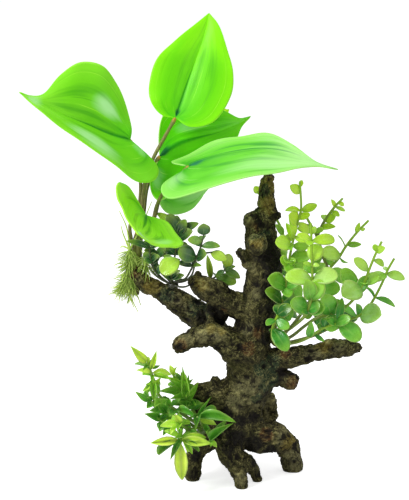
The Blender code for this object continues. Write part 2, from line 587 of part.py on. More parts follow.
def keep_largest(target):
    """Keep only the largest of the bodies that a cut may leave."""
    shape = bmesh.new()
    shape.from_mesh(target.data)
    left = set(shape.verts)
    bodies = []
    while left:
        body = set()
        front = [left.pop()]
        while front:
            corner = front.pop()
            body.add(corner)
            for edge in corner.link_edges:
                other = edge.other_vert(corner)
                if other in left:
                    left.remove(other)
                    front.append(other)
        bodies.append(body)
    bodies.sort(key=lambda body: sum(face.calc_area() for corner in body for face in corner.link_faces))
    for body in bodies[:-1]:
        bmesh.ops.delete(shape, geom=list(body), context="VERTS")
    shape.to_mesh(target.data)
    shape.free()


def grown(source, collection):
    """Return a copy of a piece that is larger by the gap all round, as a cutter."""
    shape = bmesh.new()
    shape.from_mesh(source.data)
    offsets = [corner.normal * GAP * MM * min(corner.calc_shell_factor(), 2.5) for corner in shape.verts]
    for corner, offset in zip(shape.verts, offsets):
        corner.co += offset
    mesh = bpy.data.meshes.new(source.name + "_cutter")
    shape.to_mesh(mesh)
    shape.free()
    cutter = place_mesh(source.name + "_cutter", mesh, collection)
    cutter.hide_render = True
    cutter.display_type = "WIRE"
    return cutter


def search_tree(piece):
    """Return a tree to find where a piece's faces meet another's."""
    corners = [corner.co for corner in piece.data.vertices]
    return BVHTree.FromPolygons(corners, [face.vertices for face in piece.data.polygons])


def cut_where_met(piece, cutters):
    """Cut a piece clear of each cutter that it meets."""
    for cutter in cutters:
        if search_tree(piece).overlap(search_tree(cutter)):
            combine(piece, cutter, "DIFFERENCE")
            keep_largest(piece)


def knobbly(piece, route):
    """Give a limb an uneven skin: each corner moves in or out by a share of the limb's radius there."""
    corners = piece.data.vertices
    offsets = []
    for corner in corners:
        nearest = min(route, key=lambda station: (station.xyz - corner.co).length_squared)
        place = corner.co / (LUMP_SIZE * MM)
        lump = noise.noise(place) + 0.5 * noise.noise(place * 2.3)
        offsets.append(corner.normal * lump * 2 * LUMP_SHARE * nearest.w)
    for corner, offset in zip(corners, offsets):
        corner.co += offset


def limb(name, stations, knobs, collection):
    """Return one wooden limb with its knobs joined on."""
    route = smooth_route(stations, RING_STEP)
    piece = tube(name, route, LIMB_BEVEL_STEPS, collection)
    knobbly(piece, route)
    for knob in knobs:
        join_on(piece, tube(name + "_knob", smooth_route(knob, KNOB_STEP), KNOB_BEVEL_STEPS, collection))
    return piece


def build_wood(collection, cutters):
    """Return the limbs of the driftwood and a cutter for each, a little larger than the limb.

    Each limb is cut where it meets the ones before it, and the roots end level at the floor.
    """
    plan = [
        ("wood_trunk", TRUNK, TRUNK_KNOBS),
        ("wood_spire", SPIRE, SPIRE_KNOBS),
        ("wood_long_arm", LONG_ARM, []),
        ("wood_short_upper_branch", SHORT_UPPER_BRANCH, UPPER_BRANCH_KNOBS),
        ("wood_middle_left_branch", MIDDLE_LEFT_BRANCH, MIDDLE_BRANCH_KNOBS),
        ("wood_right_branch", RIGHT_BRANCH, RIGHT_BRANCH_KNOBS),
        ("wood_right_stub", RIGHT_STUB, []),
        ("wood_lower_left_limb", LOWER_LEFT_LIMB, LOWER_LIMB_KNOBS),
        ("wood_front_root", FRONT_ROOT, [FRONT_ROOT_PRONG]),
        ("wood_left_root", LEFT_ROOT, []),
        ("wood_right_root", RIGHT_ROOT, []),
        ("wood_back_root", BACK_ROOT, []),
        ("wood_loop_root", LOOP_ROOT, []),
    ]
    bpy.ops.mesh.primitive_cube_add(size=1.0, location=(0.0, 0.0, -0.5))
    ground = bpy.context.object
    ground.name = "ground_cutter"
    wood = []
    forms = []
    for name, stations, knobs in plan:
        piece = limb(name, stations, knobs, collection)
        split_faces(piece)
        form = grown(piece, cutters)
        if name.endswith("root"):
            combine(piece, ground, "DIFFERENCE")
        cut_where_met(piece, forms)
        wood.append(piece)
        forms.append(form)
    bpy.data.objects.remove(ground)
    return wood, forms


def big_leaf(name, base, ribs, tip, collection):
    """Return one big leaf: a surface from edge to edge over its ribs, made thick.

    Each half swells a little between the midrib and its edge.
    """
    shape = bmesh.new()
    first = shape.verts.new(seen(*base))
    rows = []
    for rib in ribs:
        edge, middle, far_edge = (seen(*place) for place in rib)
        across = far_edge - edge
        along = seen(*tip) - seen(*base)
        normal = across.cross(along).normalized() * across.length * LEAF_SWELL
        inner = (edge + middle) / 2 + normal
        far_inner = (far_edge + middle) / 2 + normal
        rows.append([shape.verts.new(place) for place in (edge, inner, middle, far_inner, far_edge)])
    last = shape.verts.new(seen(*tip))
    for near, far in zip(rows[0], rows[0][1:]):
        shape.faces.new((first, far, near))
    for low, high in zip(rows, rows[1:]):
        for index in range(len(low) - 1):
            shape.faces.new((low[index], low[index + 1], high[index + 1], high[index]))
    for near, far in zip(rows[-1], rows[-1][1:]):
        shape.faces.new((last, near, far))
    bmesh.ops.triangulate(shape, faces=shape.faces)
    mesh = bpy.data.meshes.new(name)
    shape.to_mesh(mesh)
    shape.free()
    leaf = place_mesh(name, mesh, collection)
    thicken = leaf.modifiers.new("Thickness", "SOLIDIFY")
    thicken.thickness = BIG_LEAF_THICKNESS * MM
    thicken.offset = 0.0
    bpy.context.view_layer.update()
    leaf.data = bpy.data.meshes.new_from_object(leaf.evaluated_get(bpy.context.evaluated_depsgraph_get()))
    leaf.modifiers.remove(thicken)
    return leaf


def small_leaf(name, start, end, width, roll, rows, collection):
    """Return one small leaf: a thin blade with a keel, from a three-cornered neck to its tip."""
    way = (end - start).normalized()
    facing = Vector((0.0, -0.8, 0.6))
    if abs(facing.dot(way)) > 0.9:
        facing = Vector((0.0, 0.6, 0.8))
    normal = (facing - way * facing.dot(way)).normalized()
    normal.rotate(Quaternion(way, math.radians(roll)))
    side = way.cross(normal)
    length = (end - start).length
    half_width = width * MM / 2
    shape = bmesh.new()
    neck = SMALL_LEAF_NECK * MM
    rings = [[shape.verts.new(start + offset) for offset in (side * neck, -side * neck, -normal * neck)]]
    for share, wide in rows:
        place = start + (end - start) * share + normal * SMALL_LEAF_ARCH * length * math.sin(math.pi * share)
        rim = half_width * wide
        lift = normal * rim * SMALL_LEAF_FOLD
        keel = normal * SMALL_LEAF_KEEL * MM
        corners = (side * rim + lift, lift - side * rim, -keel)
        rings.append([shape.verts.new(place + corner) for corner in corners])
    tip = shape.verts.new(end)
    shape.faces.new(reversed(rings[0]))
    for low, high in zip(rings, rings[1:]):
        for index in range(3):
            after = (index + 1) % 3
            shape.faces.new((low[index], low[after], high[after], high[index]))
    for index in range(3):
        shape.faces.new((rings[-1][index], rings[-1][(index + 1) % 3], tip))
    bmesh.ops.recalc_face_normals(shape, faces=shape.faces)
    mesh = bpy.data.meshes.new(name)
    shape.to_mesh(mesh)
    shape.free()
    return place_mesh(name, mesh, collection)


def nearest_on(routes, across, up):
    """Return the place on a sprig's stems that shows nearest to a point of the front view."""
    nearest = None
    smallest = math.inf
    for route in routes:
        for start, end in zip(route, route[1:]):
            for share in (0.0, 0.25, 0.5, 0.75, 1.0):
                place = start.lerp(end, share).xyz
                shown = seen(across, up, place.y / MM + MIDDLE_BEHIND)
                distance = (shown - place).length
                if distance < smallest:
                    smallest = distance
                    nearest = place
    return nearest


def sprig(name, stems, leaves, wide_from, wide_rows, slim_rows, collection):
    """Return one sprig: its stems joined, and its leaves joined on where they grow."""
    routes = []
    for stem in stems:
        count = len(stem) - 1
        radii = [STEM_RADIUS * (1.2 - 0.55 * number / count) for number in range(count + 1)]
        routes.append(smooth_route([(*place, radius) for place, radius in zip(stem, radii)], STEM_STEP))
    piece = tube(name, routes[0], 0, collection)
    for route in routes[1:]:
        join_on(piece, tube(name + "_fork", route, 0, collection))
    for base_across, base_up, tip_across, tip_up, tip_behind, width, roll in leaves:
        start = nearest_on(routes, base_across, base_up)
        end = seen(tip_across, tip_up, tip_behind)
        rows = wide_rows if width > wide_from else slim_rows
        join_on(piece, small_leaf(name + "_leaf", start, end, width, roll, rows, collection))
    return piece


def ball(name, centre, sizes, collection):
    """Return a flattened ball, as the foot that a plant grows from."""
    shape = bmesh.new()
    bmesh.ops.create_uvsphere(shape, u_segments=10, v_segments=6, radius=MM)
    for corner in shape.verts:
        corner.co = Vector((corner.co.x * sizes[0], corner.co.y * sizes[1], corner.co.z * sizes[2])) + centre
    mesh = bpy.data.meshes.new(name)
    shape.to_mesh(mesh)
    shape.free()
    return place_mesh(name, mesh, collection)


def build_big_plant(collection):
    """Return the crown, the moss around it, and the big leaves with their stalks."""
    crown = tube("plant_crown", smooth_route(CROWN, 8.0), 1, collection)
    moss = tube("moss_tuft", smooth_route(MOSS_BODY, 6.0), 2, collection)
    middle = smooth_route(MOSS_BODY, 4.0)
    for number, (across, up, behind) in enumerate(MOSS_TIPS):
        end = seen(across, up, behind)
        start = min((station.xyz for station in middle), key=lambda place: (place - end).length)
        strand = [Vector((*start, MOSS_STRAND_RADIUS * MM)), Vector((*end, 0.35 * MM))]
        join_on(moss, tube("moss_strand", strand, 0, collection))
    stalks = []
    leaves = []
    for name, (base, ribs, tip) in BIG_LEAVES.items():
        leaves.append(big_leaf(name, base, ribs, tip, collection))
        route = smooth_route([(*station, STALK_RADIUS) for station in LEAF_STALKS[name]], STALK_STEP)
        way = seen(*base) - route[-1].xyz
        join = seen(*base) - way.normalized() * STALK_DROP * MM
        route.append(Vector((*join, STALK_RADIUS * MM * 0.85)))
        stalks.append(tube(name.replace("big_leaf", "leaf_stalk"), route, 1, collection))
    return crown, moss, stalks, leaves


def build_sprigs(prefix, foot, foot_sizes, plans, leaf_shapes, collection):
    """Return a plant's foot and its sprigs."""
    pieces = [ball(prefix + "_foot", seen(*foot), foot_sizes, collection)]
    for name, (stems, leaves) in plans.items():
        pieces.append(sprig(prefix + "_" + name, stems, leaves, *leaf_shapes, collection))
    return pieces


def main():
    """Build the plant on its driftwood."""
    clear_scene()
    model = new_collection("aquarium_plant_on_driftwood")
    cutters = new_collection("cutters")
    wood, forms = build_wood(model, cutters)
    crown, moss, stalks, leaves = build_big_plant(model)
    round_leaves = (ROUND_LEAF_WIDTH, ROUND_LEAF_ROWS, OVAL_LEAF_ROWS)
    narrow_leaves = (BROAD_NARROW_LEAF_WIDTH, NARROW_LEAF_ROWS, NEEDLE_LEAF_ROWS)
    light = build_sprigs("light_shrub", LIGHT_SHRUB_FOOT, (4.0, 3.8, 3.2), LIGHT_SPRIGS, round_leaves, model)
    dark = build_sprigs("dark_shrub", DARK_SHRUB_FOOT, (3.6, 3.4, 2.4), DARK_SPRIGS, round_leaves, model)
    foot_sizes = (3.4, 3.4, 3.0)
    narrow = build_sprigs("narrow_plant", NARROW_PLANT_FOOT, foot_sizes, NARROW_SPRIGS, narrow_leaves, model)
    for piece in [crown, *stalks, *light, *dark, *narrow, moss, *leaves]:
        split_faces(piece)
        form = grown(piece, cutters)
        cut_where_met(piece, forms)
        forms.append(form)
    finishes = [(wood, "wood"), ([crown, *stalks], "stalk"), ([moss], "moss"), (leaves, "big_leaf")]
    finishes += [(light, "light_shrub"), (dark, "dark_shrub"), (narrow, "narrow_plant")]
    for pieces, finish in finishes:
        for piece in pieces:
            piece.data.materials.clear()
            piece.data.materials.append(new_material(piece.name, finish))


main()
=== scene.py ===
"""The looks of an aquarium plant on driftwood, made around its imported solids.

Units: metres in Blender, millimetres in the tables. The tables' places are read in the front view, as
millimetres across and up and a depth behind the trunk's foot, and FrontView turns them into places.
"""

import json
import logging
import math
from collections.abc import Iterator
from contextlib import contextmanager
from dataclasses import dataclass
from enum import Enum
from functools import cached_property

import bmesh
import bpy
import numpy as np
from bpy.types import Collection, Material, Mesh, Node, NodeSocket, NodeTree, Object
from mathutils import Matrix, Quaternion, Vector, noise

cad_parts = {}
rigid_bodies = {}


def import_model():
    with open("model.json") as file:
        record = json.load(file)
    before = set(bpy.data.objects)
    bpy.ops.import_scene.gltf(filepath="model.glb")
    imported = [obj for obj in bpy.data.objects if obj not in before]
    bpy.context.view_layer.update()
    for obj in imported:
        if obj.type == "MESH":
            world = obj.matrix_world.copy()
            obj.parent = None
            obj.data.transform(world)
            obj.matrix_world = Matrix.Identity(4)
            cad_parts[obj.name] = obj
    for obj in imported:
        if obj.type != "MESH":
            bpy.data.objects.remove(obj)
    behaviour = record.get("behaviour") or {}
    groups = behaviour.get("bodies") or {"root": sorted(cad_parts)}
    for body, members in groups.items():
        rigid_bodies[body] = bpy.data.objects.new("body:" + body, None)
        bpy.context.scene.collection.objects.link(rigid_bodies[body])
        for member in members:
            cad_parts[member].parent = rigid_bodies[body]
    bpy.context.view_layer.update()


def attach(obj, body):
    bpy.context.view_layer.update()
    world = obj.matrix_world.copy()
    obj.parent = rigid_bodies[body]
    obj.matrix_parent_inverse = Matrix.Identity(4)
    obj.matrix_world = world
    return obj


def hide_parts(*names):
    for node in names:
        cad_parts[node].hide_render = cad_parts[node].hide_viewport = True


LOG = logging.getLogger("aquarium_plant")
MM = 0.001

Place = tuple[float, float, float]
Station = tuple[float, float, float, float]
Colour = tuple[float, float, float]


def paint(code: str) -> Colour:
    """Turn a screen's red, green and blue, as six hexadecimal digits, into the shader's linear values."""
    shares = (int(code[start:start + 2], 16) / 255.0 for start in (0, 2, 4))
    return tuple(share / 12.92 if share <= 0.04045 else ((share + 0.055) / 1.055) ** 2.4 for share in shares)


@dataclass(frozen=True)
class FrontView:
    """The view in which the tables are read, and the camera that shows it, in radians and millimetres.

    The point middle lies at the middle of the picture, which shows frame_height from top to bottom there.
    The object's own middle shows at centre_across and lies centre_behind the trunk's foot.
    """

    tilt: float = math.radians(15.0)
    distance: float = 1000.0
    middle: tuple[float, float] = (-28.4, 139.7)
    centre_across: float = -21.1
    centre_behind: float = 7.0
    frame_height: float = 312.5
    sensor: float = 36.0

    def place(self, across: float, up: float, behind: float) -> Vector:
        """Find the place that shows at a point of the view and lies at a depth.

        Args:
            across: millimetres to the right in the view.
            up: millimetres up in the view.
            behind: millimetres behind the trunk's foot.

        Returns:
            The place in the object's own frame, in metres.
        """
        lean, rise = math.sin(self.tilt), math.cos(self.tilt)
        right, above = across - self.middle[0], up - self.middle[1]
        back = behind - self.middle[1] * lean
        reach = self.distance + back * rise
        climb = (above * reach / self.distance - back * lean) / (rise + above * lean / self.distance)
        spread = (reach - climb * lean) / self.distance
        sideways = self.middle[0] + right * spread - self.centre_across
        return Vector((sideways, behind - self.centre_behind, self.middle[1] * rise + climb)) * MM

    def camera(self) -> None:
        """Make the camera that shows the front view, and make it the scene's own."""
        lean, rise = math.sin(self.tilt), math.cos(self.tilt)
        aim = Vector((self.middle[0] - self.centre_across, self.middle[1] * lean - self.centre_behind,
                      self.middle[1] * rise))
        lens = bpy.data.cameras.new("front_camera")
        lens.sensor_fit = "VERTICAL"
        lens.sensor_height = self.sensor
        lens.lens = self.sensor * self.distance / self.frame_height
        lens.clip_start = 0.01
        camera = show("front_camera", lens)
        camera.location = (aim - Vector((0.0, rise, -lean)) * self.distance) * MM
        camera.rotation_euler = (math.pi / 2 - self.tilt, 0.0, 0.0)
        bpy.context.scene.camera = camera


VIEW = FrontView()


def smooth_row(knots: list[Vector], parts: int) -> list[Vector]:
    """Read places on a smooth curve through knots, the same number between each two.

    Args:
        knots: the places that the curve passes.
        parts: how many steps lie between two knots.

    Returns:
        The places, with the first and the last knot.
    """
    ends = [2 * knots[0] - knots[1], *knots, 2 * knots[-1] - knots[-2]]
    places = []
    for before, start, end, after in zip(ends, ends[1:], ends[2:], ends[3:]):
        for number in range(parts):
            share = number / parts
            linear = (end - before) * share
            square = (2 * before - 5 * start + 4 * end - after) * share**2
            cubic = (3 * start - before - 3 * end + after) * share**3
            places.append(start + (linear + square + cubic) / 2)
    return [*places, knots[-1]]


def smooth_route(stations: list[Station], step: float) -> list[Vector]:
    """Lay a smooth curve through stations and read places on it at even distances.

    Args:
        stations: across, up, behind and radius, in millimetres, in the front view.
        step: about how far apart the places are, in millimetres.

    Returns:
        The places with their radii, as 4D points in metres.
    """
    fine = smooth_row([Vector((*VIEW.place(*station[:3]), station[3] * MM)) for station in stations], 10)
    steps = [(end.xyz - start.xyz).length for start, end in zip(fine, fine[1:])]
    reached = np.cumsum([0.0, *steps])
    count = max(2, round(reached[-1] / (step * MM)))
    wanted = np.linspace(0.0, reached[-1], count + 1)
    columns = [np.interp(wanted, reached, column) for column in np.array(fine).T]
    return [Vector(row) for row in zip(*columns)]


def show(name: str, data: bpy.types.ID) -> Object:
    """Put a mesh, a lamp or a camera in the scene and return its object."""
    thing = bpy.data.objects.new(name, data)
    bpy.context.scene.collection.objects.link(thing)
    return thing


def settle(piece: Object, slot: str, *nodes: str) -> Object:
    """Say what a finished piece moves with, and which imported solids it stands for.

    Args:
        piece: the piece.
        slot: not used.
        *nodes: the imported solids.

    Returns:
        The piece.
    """
    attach(piece, "root")
    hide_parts(*nodes)
    return piece


def solid(shape: bmesh.types.BMesh, mesh: Mesh) -> Mesh:
    """Write a bmesh to a mesh, with smooth faces that point outwards.

    Args:
        shape: the bmesh, which is used up.
        mesh: the mesh.

    Returns:
        The mesh.
    """
    bmesh.ops.recalc_face_normals(shape, faces=shape.faces)
    for face in shape.faces:
        face.smooth = True
    shape.to_mesh(mesh)
    shape.free()
    return mesh


def plain_mesh(piece: Object) -> None:
    """Turn a piece with modifiers into a plain mesh with the same shape and attributes.

    Args:
        piece: the piece, which loses its modifiers.
    """
    bpy.context.view_layer.update()
    graph = bpy.context.evaluated_depsgraph_get()
    mesh = bpy.data.meshes.new_from_object(piece.evaluated_get(graph), preserve_all_data_layers=True,
                                           depsgraph=graph)
    piece.modifiers.clear()
    old = piece.data
    piece.data = mesh
    bpy.data.meshes.remove(old)
    mesh.name = piece.name


def face_outwards(mesh: Mesh) -> None:
    """Turn the faces of a mesh's closed bodies outwards."""
    shape = bmesh.new()
    shape.from_mesh(mesh)
    solid(shape, mesh)


def read_row(mesh: Mesh, name: str) -> np.ndarray:
    """Return one attribute of all points, a number for each."""
    return np.array([entry.value for entry in mesh.attributes[name].data], np.float32)


def write_row(mesh: Mesh, name: str, values: np.ndarray) -> None:
    """Give each point a number or a vector of its own under a name."""
    kinds = {"b": ("BOOLEAN", "value"), "i": ("INT", "value"), "f": ("FLOAT", "value")}
    kind, member = ("FLOAT_VECTOR", "vector") if values.ndim == 2 else kinds[values.dtype.kind]
    mesh.attributes.new(name, kind, "POINT").data.foreach_set(member, values.ravel().tolist())


class Wiring:
    """Short words for adding and joining the nodes of one tree."""

    def __init__(self, tree: NodeTree) -> None:
        """Start on an existing tree."""
        self.tree = tree

    def add(self, kind: str, settings: dict | None = None, **inputs: object) -> Node:
        """Add one node.

        Args:
            kind: the node's type name.
            settings: the node's own properties.
            **inputs: its inputs, as fill takes them.

        Returns:
            The node.
        """
        node = self.tree.nodes.new(kind)
        for key, value in (settings or {}).items():
            setattr(node, key, value)
        self.fill(node, **inputs)
        return node

    def fill(self, node: Node, **inputs: object) -> None:
        """Join sockets to a node's inputs, or set the inputs' values.

        Args:
            node: the node.
            **inputs: a socket or a plain value for each input, by the input's name with _ for a space, or by
                its number as i0, i1 and so on.
        """
        for key, value in inputs.items():
            if key[0] == "i" and key[1:].isdigit():
                target = node.inputs[int(key[1:])]
            else:
                wanted = key.replace("_", " ").lower()
                target = next(put for put in node.inputs if put.enabled and put.name.lower() == wanted)
            if isinstance(value, NodeSocket):
                self.tree.links.new(value, target)
            elif target.type == "RGBA" and len(value) == 3:
                target.default_value = (*value, 1.0)
            else:
                target.default_value = value

    def math(self, operation: str, first: object, second: object = 0.0, third: object = 0.0) -> object:
        """Add a Math node on up to three values and return its socket."""
        return self.add("ShaderNodeMath", {"operation": operation}, i0=first, i1=second, i2=third).outputs[0]

    def times(self, first: object, second: object) -> object:
        """Multiply two values and return the socket."""
        return self.math("MULTIPLY", first, second)

    def swing(self, value: object, amount: float, base: object = 0.0) -> object:
        """Add to a base how far a value lies above 0.5, times an amount, and return the socket."""
        return self.math("MULTIPLY_ADD", self.math("SUBTRACT", value, 0.5), amount, base)

    def remap(self, value: object, low: float, high: float, start: float = 0.0, end: float = 1.0) -> object:
        """Turn a value's range from low to high smoothly into start to end and return the socket."""
        return self.add("ShaderNodeMapRange", {"interpolation_type": "SMOOTHSTEP"}, Value=value,
                        From_Min=low, From_Max=high, To_Min=start, To_Max=end).outputs[0]

    def mix(self, share: object, first: object, second: object) -> object:
        """Mix two colours, where the share is how much of the second shows, and return the socket."""
        return self.add("ShaderNodeMix", {"data_type": "RGBA", "clamp_factor": True}, i0=share, i6=first,
                        i7=second).outputs[2]

    def ramp(self, value: object, colours: tuple[Colour, ...]) -> object:
        """Turn a value from 0 to 1 into a colour along an even row of colours.

        Args:
            value: the value's socket.
            colours: the colours.

        Returns:
            The colour's socket.
        """
        node = self.add("ShaderNodeValToRGB", i0=value)
        band = node.color_ramp
        while len(band.elements) < len(colours):
            band.elements.new(1.0)
        for number, (element, colour) in enumerate(zip(band.elements, colours)):
            element.position = number / (len(colours) - 1)
            element.color = (*colour, 1.0)
        return node.outputs[0]

    def grain(self, vector: object, scale: object, detail: float = 2.0, roughness: float = 0.5,
              distortion: float = 0.0) -> object:
        """Add a noise texture and return its value's socket."""
        return self.add("ShaderNodeTexNoise", Vector=vector, Scale=scale, Detail=detail,
                        Roughness=roughness, Distortion=distortion).outputs[0]

    def vector(self, operation: str, first: object, second: object) -> object:
        """Add a Vector Math node on two vectors and return its socket."""
        return self.add("ShaderNodeVectorMath", {"operation": operation}, i0=first, i1=second).outputs[0]

    def scaled(self, vector: object, factors: Place) -> object:
        """Multiply a vector by three factors and return its socket."""
        return self.vector("MULTIPLY", vector, factors)

    def dimmed(self, vector: object, factor: object) -> object:
        """Multiply a vector or a colour by one value and return its socket."""
        return self.add("ShaderNodeVectorMath", {"operation": "SCALE"}, i0=vector, Scale=factor).outputs[0]

    def parts(self, vector: object) -> bpy.types.bpy_prop_collection:
        """Split a vector and return its three sockets."""
        return self.add("ShaderNodeSeparateXYZ", i0=vector).outputs

    def camera_ray(self) -> object:
        """Return the socket that tells whether a ray comes straight from the camera."""
        return self.add("ShaderNodeLightPath").outputs["Is Camera Ray"]


class Group(Wiring):
    """A node group with named inputs and outputs."""

    SOCKETS = {"value": "NodeSocketFloat", "whole": "NodeSocketInt", "vector": "NodeSocketVector",
               "geometry": "NodeSocketGeometry", "material": "NodeSocketMaterial",
               "collection": "NodeSocketCollection"}

    def __init__(self, name: str, kind: str, inputs: dict[str, object], outputs: dict[str, str]) -> None:
        """Make the group and its sockets.

        Args:
            name: the group's name.
            kind: ShaderNodeTree or GeometryNodeTree.
            inputs: each input's name, with its usual number or else its sort.
            outputs: each output's name and sort.
        """
        super().__init__(bpy.data.node_groups.new(name, kind))
        for label, usual in inputs.items():
            sort = usual if isinstance(usual, str) else "whole" if isinstance(usual, int) else "value"
            entry = self.tree.interface.new_socket(label, in_out="INPUT", socket_type=self.SOCKETS[sort])
            if sort is not usual:
                entry.default_value = usual
        for label, sort in outputs.items():
            self.tree.interface.new_socket(label, in_out="OUTPUT", socket_type=self.SOCKETS[sort])
        self.start = self.tree.nodes.new("NodeGroupInput")
        self.end = self.tree.nodes.new("NodeGroupOutput")

    def given(self, label: str) -> object:
        """Return the socket that brings one named input."""
        return self.start.outputs[label]

    def give(self, label: str, value: object) -> None:
        """Send a socket out under one of the outputs' names."""
        self.tree.links.new(value, self.end.inputs[label])


def uneven_tone() -> NodeTree:
    """Make the shader group for unevenness that the finishes share: broad patches and fine speckles.

    Returns:
        The group. Its inputs are Vector, Broad and Fine, in metres, and its outputs are Patch and Speckle.
    """
    found = bpy.data.node_groups.get("uneven_tone")
    if found:
        return found
    group = Group("uneven_tone", "ShaderNodeTree", {"Vector": "vector", "Broad": 0.012, "Fine": 0.001},
                  {"Patch": "value", "Speckle": "value"})
    for label, size, detail in (("Patch", "Broad", 3.0), ("Speckle", "Fine", 4.0)):
        scale = group.math("DIVIDE", 1.0, group.given(size))
        group.give(label, group.remap(group.grain(group.given("Vector"), scale, detail, 0.55), 0.28, 0.72))
    return group.tree


class Finish(Wiring):
    """The nodes of one material with a Principled shader."""

    def __init__(self, name: str) -> None:
        """Make the material."""
        self.material = bpy.data.materials.new(name)
        self.material.use_nodes = True
        super().__init__(self.material.node_tree)

    def shader(self, **inputs: object) -> Material:
        """Set the shader's inputs, as fill takes them, and return the material."""
        self.fill(self.tree.nodes["Principled BSDF"], **inputs)
        return self.material

    def read(self, name: str, output: str = "Fac") -> object:
        """Read an attribute of the mesh, as Fac or Vector, and return its socket."""
        settings = {"attribute_type": "GEOMETRY", "attribute_name": name}
        return self.add("ShaderNodeAttribute", settings).outputs[output]

    def place(self) -> object:
        """Read the place on the object, in metres, and return its socket."""
        return self.add("ShaderNodeTexCoord").outputs["Object"]

    def uneven(self, broad: float, fine: float) -> tuple[object, object]:
        """Place the shared unevenness with its two sizes, and return the sockets of Patch and Speckle."""
        node = self.add("ShaderNodeGroup", {"node_tree": uneven_tone()}, Vector=self.place(), Broad=broad,
                        Fine=fine)
        return node.outputs["Patch"], node.outputs["Speckle"]

    def bump(self, strength: float, depth: float, height: object) -> object:
        """Raise a height, whose depth is in metres, and return the normal's socket."""
        return self.add("ShaderNodeBump", Strength=strength, Distance=depth, Height=height).outputs[0]


class GrowthTree(Group):
    """A geometry tree. It takes Geometry and Material beside its own inputs, and gives Geometry."""

    def __init__(self, name: str, **inputs: object) -> None:
        """Make the tree with inputs of its own, as Group takes them."""
        given = {"Geometry": "geometry", **inputs, "Material": "material"}
        super().__init__(name, "GeometryNodeTree", given, {"Geometry": "geometry"})

    def read(self, name: str, kind: str = "FLOAT") -> object:
        """Read a named attribute of the geometry and return its socket."""
        return self.add("GeometryNodeInputNamedAttribute", {"data_type": kind}, Name=name).outputs[0]

    def pick(self, low: float, high: float, seed: int) -> object:
        """Pick a random value between two for each element and return its socket."""
        settings = {"data_type": "FLOAT"}
        return self.add("FunctionNodeRandomValue", settings, Min=low, Max=high, Seed=seed).outputs[1]

    def keep(self, geometry: object, name: str, value: object) -> object:
        """Store a value on each point under a name and return the geometry."""
        return self.add("GeometryNodeStoreNamedAttribute", {"data_type": "FLOAT", "domain": "POINT"},
                        Geometry=geometry, Name=name, Value=value).outputs[0]

    def round_bars(self) -> object:
        """Lay a closed bar along each run of edges, as thick as its girth says.

        Returns:
            The bars' socket.
        """
        line = self.add("GeometryNodeMeshToCurve", Mesh=self.given("Geometry")).outputs[0]
        ring = self.add("GeometryNodeCurvePrimitiveCircle", {"mode": "RADIUS"}, Radius=1.0,
                        Resolution=self.given("Sides")).outputs[0]
        return self.add("GeometryNodeCurveToMesh", Curve=line, Profile_Curve=ring, Fill_Caps=True,
                        Scale=self.read("girth")).outputs[0]

    def finished(self, *geometries: object) -> NodeTree:
        """Join what the tree has made, make instances real, and give everything its material.

        Args:
            *geometries: the geometries that the tree has made.

        Returns:
            The finished tree.
        """
        both = self.add("GeometryNodeJoinGeometry")
        for geometry in geometries:
            self.tree.links.new(geometry, both.inputs[0])
        real = self.add("GeometryNodeRealizeInstances", Geometry=both.outputs[0])
        smooth = self.add("GeometryNodeSetShadeSmooth", Geometry=real.outputs[0])
        self.give("Geometry", self.add("GeometryNodeSetMaterial", Geometry=smooth.outputs[0],
                                       Material=self.given("Material")).outputs[0])
        return self.tree


